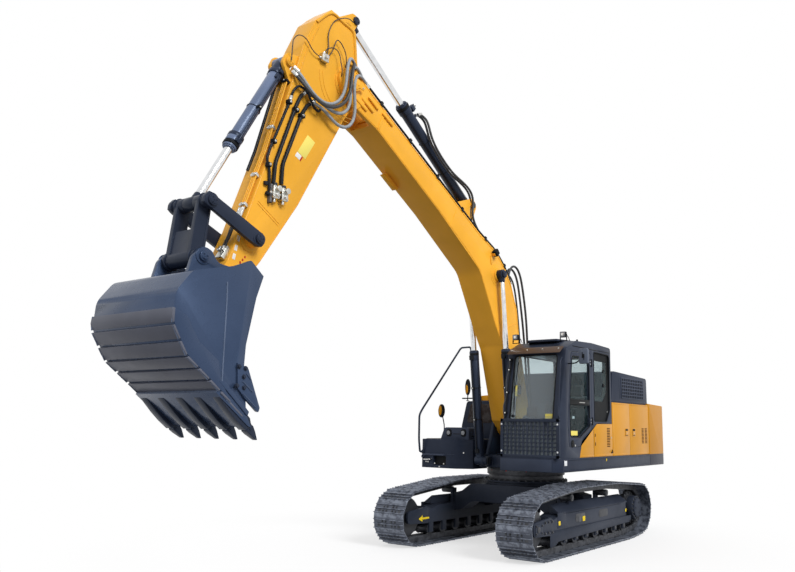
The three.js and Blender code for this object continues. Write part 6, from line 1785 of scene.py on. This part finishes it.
# ---------------------------------------------------------------- bucket ram and links
# The ram pushes on the pin that joins two idler links, which hang from the arm, to the tipping
# link, which turns the bucket. Plates of thick dark steel, with pins that have bolted round caps.
LINK_LOW, RAM_BASE = joint_at["tipping_link_swing"], joint_at["bucket_cylinder_swing"]
BUCKET = leaning(TIP, LINK_LOW)
link_base = joint_at["idler_links_swing"]
ram_axis = Vector((0.470025, 0, -0.882653))
link_paint = enamel("link_blue", (0.018, 0.024, 0.042), 0.32, 0.3, 0, 0.1, shine=0.15, tint=(0.6, 0.75, 1))
bucket_paint = enamel("bucket_blue", (0.024, 0.040, 0.080), 0.27, 0.25, 0, 0.08, 0.08, shine=0.5,
                      tint=(0.45, 0.62, 1))
weld_grey = enamel("weld_grey", (0.10, 0.13, 0.20), 0.4, 0.1, 0, 0.2, 0.3)
strip_steel = enamel("wear_strip_grey", (0.095, 0.102, 0.132), 0.40, 0.1, 0, 0.12, 0.12, shine=0.15)

to_pin, to_low = 0.708, 0.613
span = LINK_LOW - link_base
gap = span.length
along = (to_pin ** 2 - to_low ** 2 + gap ** 2) / (2 * gap)
u = span / gap
pin = link_base + u * along + Vector((-u.z, 0, u.x)) * (to_pin ** 2 - along ** 2) ** 0.5
LINKS, COUPLER = leaning(link_base, pin), leaning(LINK_LOW, pin)

ram_lugs = [rod((0.150, 0, 0), (0.215, 0, 0), 0.092, ram_blue, 56, 0.005),
            rod((0.02, 0, 0), (0.20, 0, 0), 0.084, ram_blue, 56, 0.004),
            block((0.160, -0.125, -0.020), (0.205, 0.125, 0.030), ram_blue, 0.008),
            rod((1.27, 0, 0), (1.325, 0, 0), 0.094, ram_blue, 56, 0.005)]
ram_lugs += bolts([(0.182, s * 0.108, 0.030) for s in (1, -1)], (0, 0, 1), 0.024, ram_blue)
# the barrel's pale slate is a painted sheen over the rams' dark blue paint
barrel("bucket_ram", "bucket_cylinder_swing", ram_axis, 0.078, 0.048, 1.480, 0.090, ram_slate_painted_sheen, ["bucket_cylinder"],
       "bucket_cylinder",
       ram_lugs + strapped(0.078, 1.480, -pi * 0.5, 0.26, ram_blue, 0.014, 1))
piston("bucket_ram_rod", "bucket_cylinder_swing", ram_axis, 0.078, 0.048, 0.78, (pin - RAM_BASE).length, 0.0845,
       link_paint, ["bucket_rod"], "bucket_rod")

for s, side in ((1, "left"), (-1, "right")):
    idler = [dress(f"idler_link_{side}", link_paint, 0.006, 3, 2.0)]
    idler[0].data.transform(LINKS.inverted())
    for x in (0.0, to_pin):
        idler += [rod((x, s * 0.3425, 0), (x, s * 0.352, 0), 0.046, link_paint, 40, 0.004),
                  rod((x, s * 0.345, 0), (x, s * 0.356, 0), 0.010, link_paint, 12, 0.001),
                  rod((x, s * 0.311, 0), (x, s * 0.318, 0), 0.080, link_paint, 48, 0.003)]
        idler += bolts([(x + 0.030 * cos(a), s * 0.352, 0.030 * sin(a)) for a in (0.6, 2.7, 4.8)], (0, s, 0),
                       0.012, link_paint)
    fit(join(f"idler_plate_{side}", idler), "idler_links", LINKS, stands_for=[f"idler_link_{side}"])

tipping = [dress("tipping_link", link_paint, 0.006, 3, 2.0)]
tipping[0].data.transform(COUPLER.inverted())
for s in (1, -1):
    tipping += [rod((0, s * 0.20, 0), (0, s * 0.212, 0), 0.105, link_paint, 48, 0.004),
                rod((to_low, s * 0.2, 0), (to_low, s * 0.210, 0), 0.093, link_paint, 48, 0.004),
                bead([(0.05, s * 0.207, 0.06), (0.55, s * 0.207, 0.06)], link_paint, 0.004)]
fit(join("tipping_frame", tipping), "tipping_link", COUPLER, stands_for=["tipping_link"])

# ---------------------------------------------------------------- bucket
# A digging bucket welded from plate: wear strips lapped like shingles over its wrap, doubled
# cheeks, bolted side cutters, and five cast teeth pinned on adapters at its cutting edge.
back = rounded([(0.560, -0.240), (0.720, -0.360, 0.15), (0.785, -0.620, 0.22), (0.720, -0.900, 0.22),
                (0.420, -1.120, 0.20), (0.080, -1.205, 0.06), (-0.482, -1.355)], 8)
so_far = [0.0]
for a, b in zip(back, back[1:]):
    so_far.append(so_far[-1] + (b - a).length)


def on_back(distance):
    """The place and the outward direction at a distance along the bucket's wrap."""
    for i, (a, b) in enumerate(zip(back, back[1:])):
        if distance <= so_far[i + 1] or i == len(back) - 2:
            t = (b - a).normalized()
            return a + t * (distance - so_far[i]), Vector((-t.y, t.x))
    return None


FIRST_STRIP, STRIP_PITCH, STRIPS, STEP = 0.633, 0.1695, 7, 0.016
shell = dress("bucket", bucket_paint, 0, 2, 2.0)
shell.data.transform(BUCKET.inverted())
for v in shell.data.vertices:  # the wrap lies a step deeper than the strips' outer faces
    flat, near = Vector((v.co.x, v.co.z)), []
    for i, (a, b) in enumerate(zip(back, back[1:])):
        t = max(0.0, min(1.0, (flat - a).dot(b - a) / max(1e-9, (b - a).length_squared)))
        near.append(((flat - a.lerp(b, t)).length, so_far[i] + t * (b - a).length))
    gap, reached = min(near)
    if gap < 0.006 and FIRST_STRIP - 0.1 < reached < so_far[-1] - 0.05:
        inward = on_back(reached)[1] * -STEP
        v.co.x, v.co.z = v.co.x + inward.x, v.co.z + inward.y
soften(shell, 0.004)
parts = [shell]
for k in range(STRIPS):
    start = FIRST_STRIP + k * STRIP_PITCH
    (p0, n0), (pm, nm), (p1,
                         n1) = on_back(start), on_back(start + STRIP_PITCH * 0.42), on_back(start + STRIP_PITCH
                             * 0.84)
    line = [p0 + n0 * -0.020, p0 + n0 * 0.003, pm + nm * 0.001, p1 + n1 * -0.003, p1 + n1 * -0.020]
    parts.append(plate([tuple(p) for p in line], -0.676, 0.676, strip_steel, edge=0.003))
    for s in (1, -1):
        parts.append(bead([(p0.x, s * 0.663, p0.y), (p1.x, s * 0.663, p1.y)], weld_grey, 0.006))
(p0, n0), (p1, n1) = on_back(FIRST_STRIP + STRIPS * STRIP_PITCH - 0.06), on_back(so_far[-1] - 0.03)
parts.append(plate([tuple(p) for p in (p0 - n0 * 0.018, p0, p1 + n1 * 0.001, p1 - n1 * 0.018)], -0.662, 0.662,
                   strip_steel, edge=0.003))
for s in (1, -1):
    y = s * 0.6605
    rim = [on_back(FIRST_STRIP + 0.06 * k) for k in range(20)]
    cheek = [tuple(p - n * 0.022) for p, n in rim] + [(-0.045, -1.13), (0.065, -0.990), (0.344, -0.931),
                                                      (0.458, -0.863), (0.565, -0.783, 0.08)]
    parts.append(plate(cheek, *sorted((y - s * 0.004, y + s * 0.009)), bucket_paint, edge=0.003))
    parts.append(bead([(0.330, y, -0.25), (0.251, y, -0.413), (0.134, y, -0.681), (-0.089, y, -1.194)], weld_grey,
                      0.008))
    parts.append(plate([(-0.03, -1.16), (-0.10, -1.13), (-0.50, -1.27), (-0.50, -1.315)],
                       *sorted((y - s * 0.004, y + s * 0.012)), bucket_paint, edge=0.003))
    parts.append(bead([(x, s * 0.3105, z) for x, z in ((-0.10, -0.12), (0.18, -0.18), (0.50, -0.24))],
                      bucket_paint, 0.006))
    for x in (0.0, 0.488):
        parts += pin_cap(x, 0, s * 0.3415, s, 0.054, bucket_paint, None, 0.012)
        parts.append(rod((x, s * 0.311, 0), (x, s * 0.322, 0), 0.088, bucket_paint, 48, 0.004))
    # side cutter with its bolts and two ribs
    face = s * 0.690
    parts += bolts([(-0.165, face, -0.935), (-0.245, face, -0.915), (-0.263, face, -1.000), (-0.225, face, -1.115),
                    (-0.315, face, -1.095)], (0, s, 0), 0.036, link_paint)
    parts += [bead([(-0.28, face, -0.955), (-0.36, face, -0.985)], bucket_paint, 0.009),
              bead([(-0.27, face, -1.045), (-0.43, face, -1.085)], bucket_paint, 0.009),
              bead([(-0.33, face, -1.15), (-0.54, face, -1.205)], bucket_paint, 0.008)]
fit(join("bucket_shell", parts), "bucket", BUCKET, stands_for=["bucket"])

tip_profile = [(-0.772, -1.456), (-0.700, -1.398), (-0.640, -1.362), (-0.590, -1.352), (-0.566, -1.372),
               (-0.588, -1.440), (-0.640, -1.452), (-0.745, -1.470)]
adapter_profile = [(-0.610, -1.372), (-0.560, -1.312), (-0.420, -1.262), (-0.250, -1.222), (-0.250, -1.238),
                   (-0.440, -1.300), (-0.455, -1.362), (-0.130, -1.268),
                   (-0.122, -1.286), (-0.300, -1.362), (-0.420, -1.404), (-0.560, -1.440)]
TEETH, TOOTH_SPAN = 5, 0.595
for i in range(TEETH):
    y = -TOOTH_SPAN + 2 * TOOTH_SPAN * i / (TEETH - 1)
    tip = plate(tip_profile, -0.046, 0.046, link_paint, edge=0.006, steps=3)
    for v in tip.data.vertices:  # narrows to its point, with shoulders at the adapter
        v.co.y *= min(1.0, 0.34 + 0.66 * max(0.0, (v.co.x + 0.772) / 0.135))
    tooth = [tip, plate(adapter_profile, -0.054, 0.054, link_paint, edge=0.006, steps=2),
             rod((-0.590, -0.049, -1.392), (-0.590, 0.049, -1.392), 0.014, link_steel, 16, 0.002),
             plate([(-0.640, -1.372), (-0.585, -1.348), (-0.575, -1.400), (-0.625, -1.418)], -0.0495, 0.0495,
                   link_paint, edge=0.004)]
    fit(join(f"tooth_{i + 1}", tooth), "bucket", BUCKET @ Matrix.Translation((0, y, 0)))
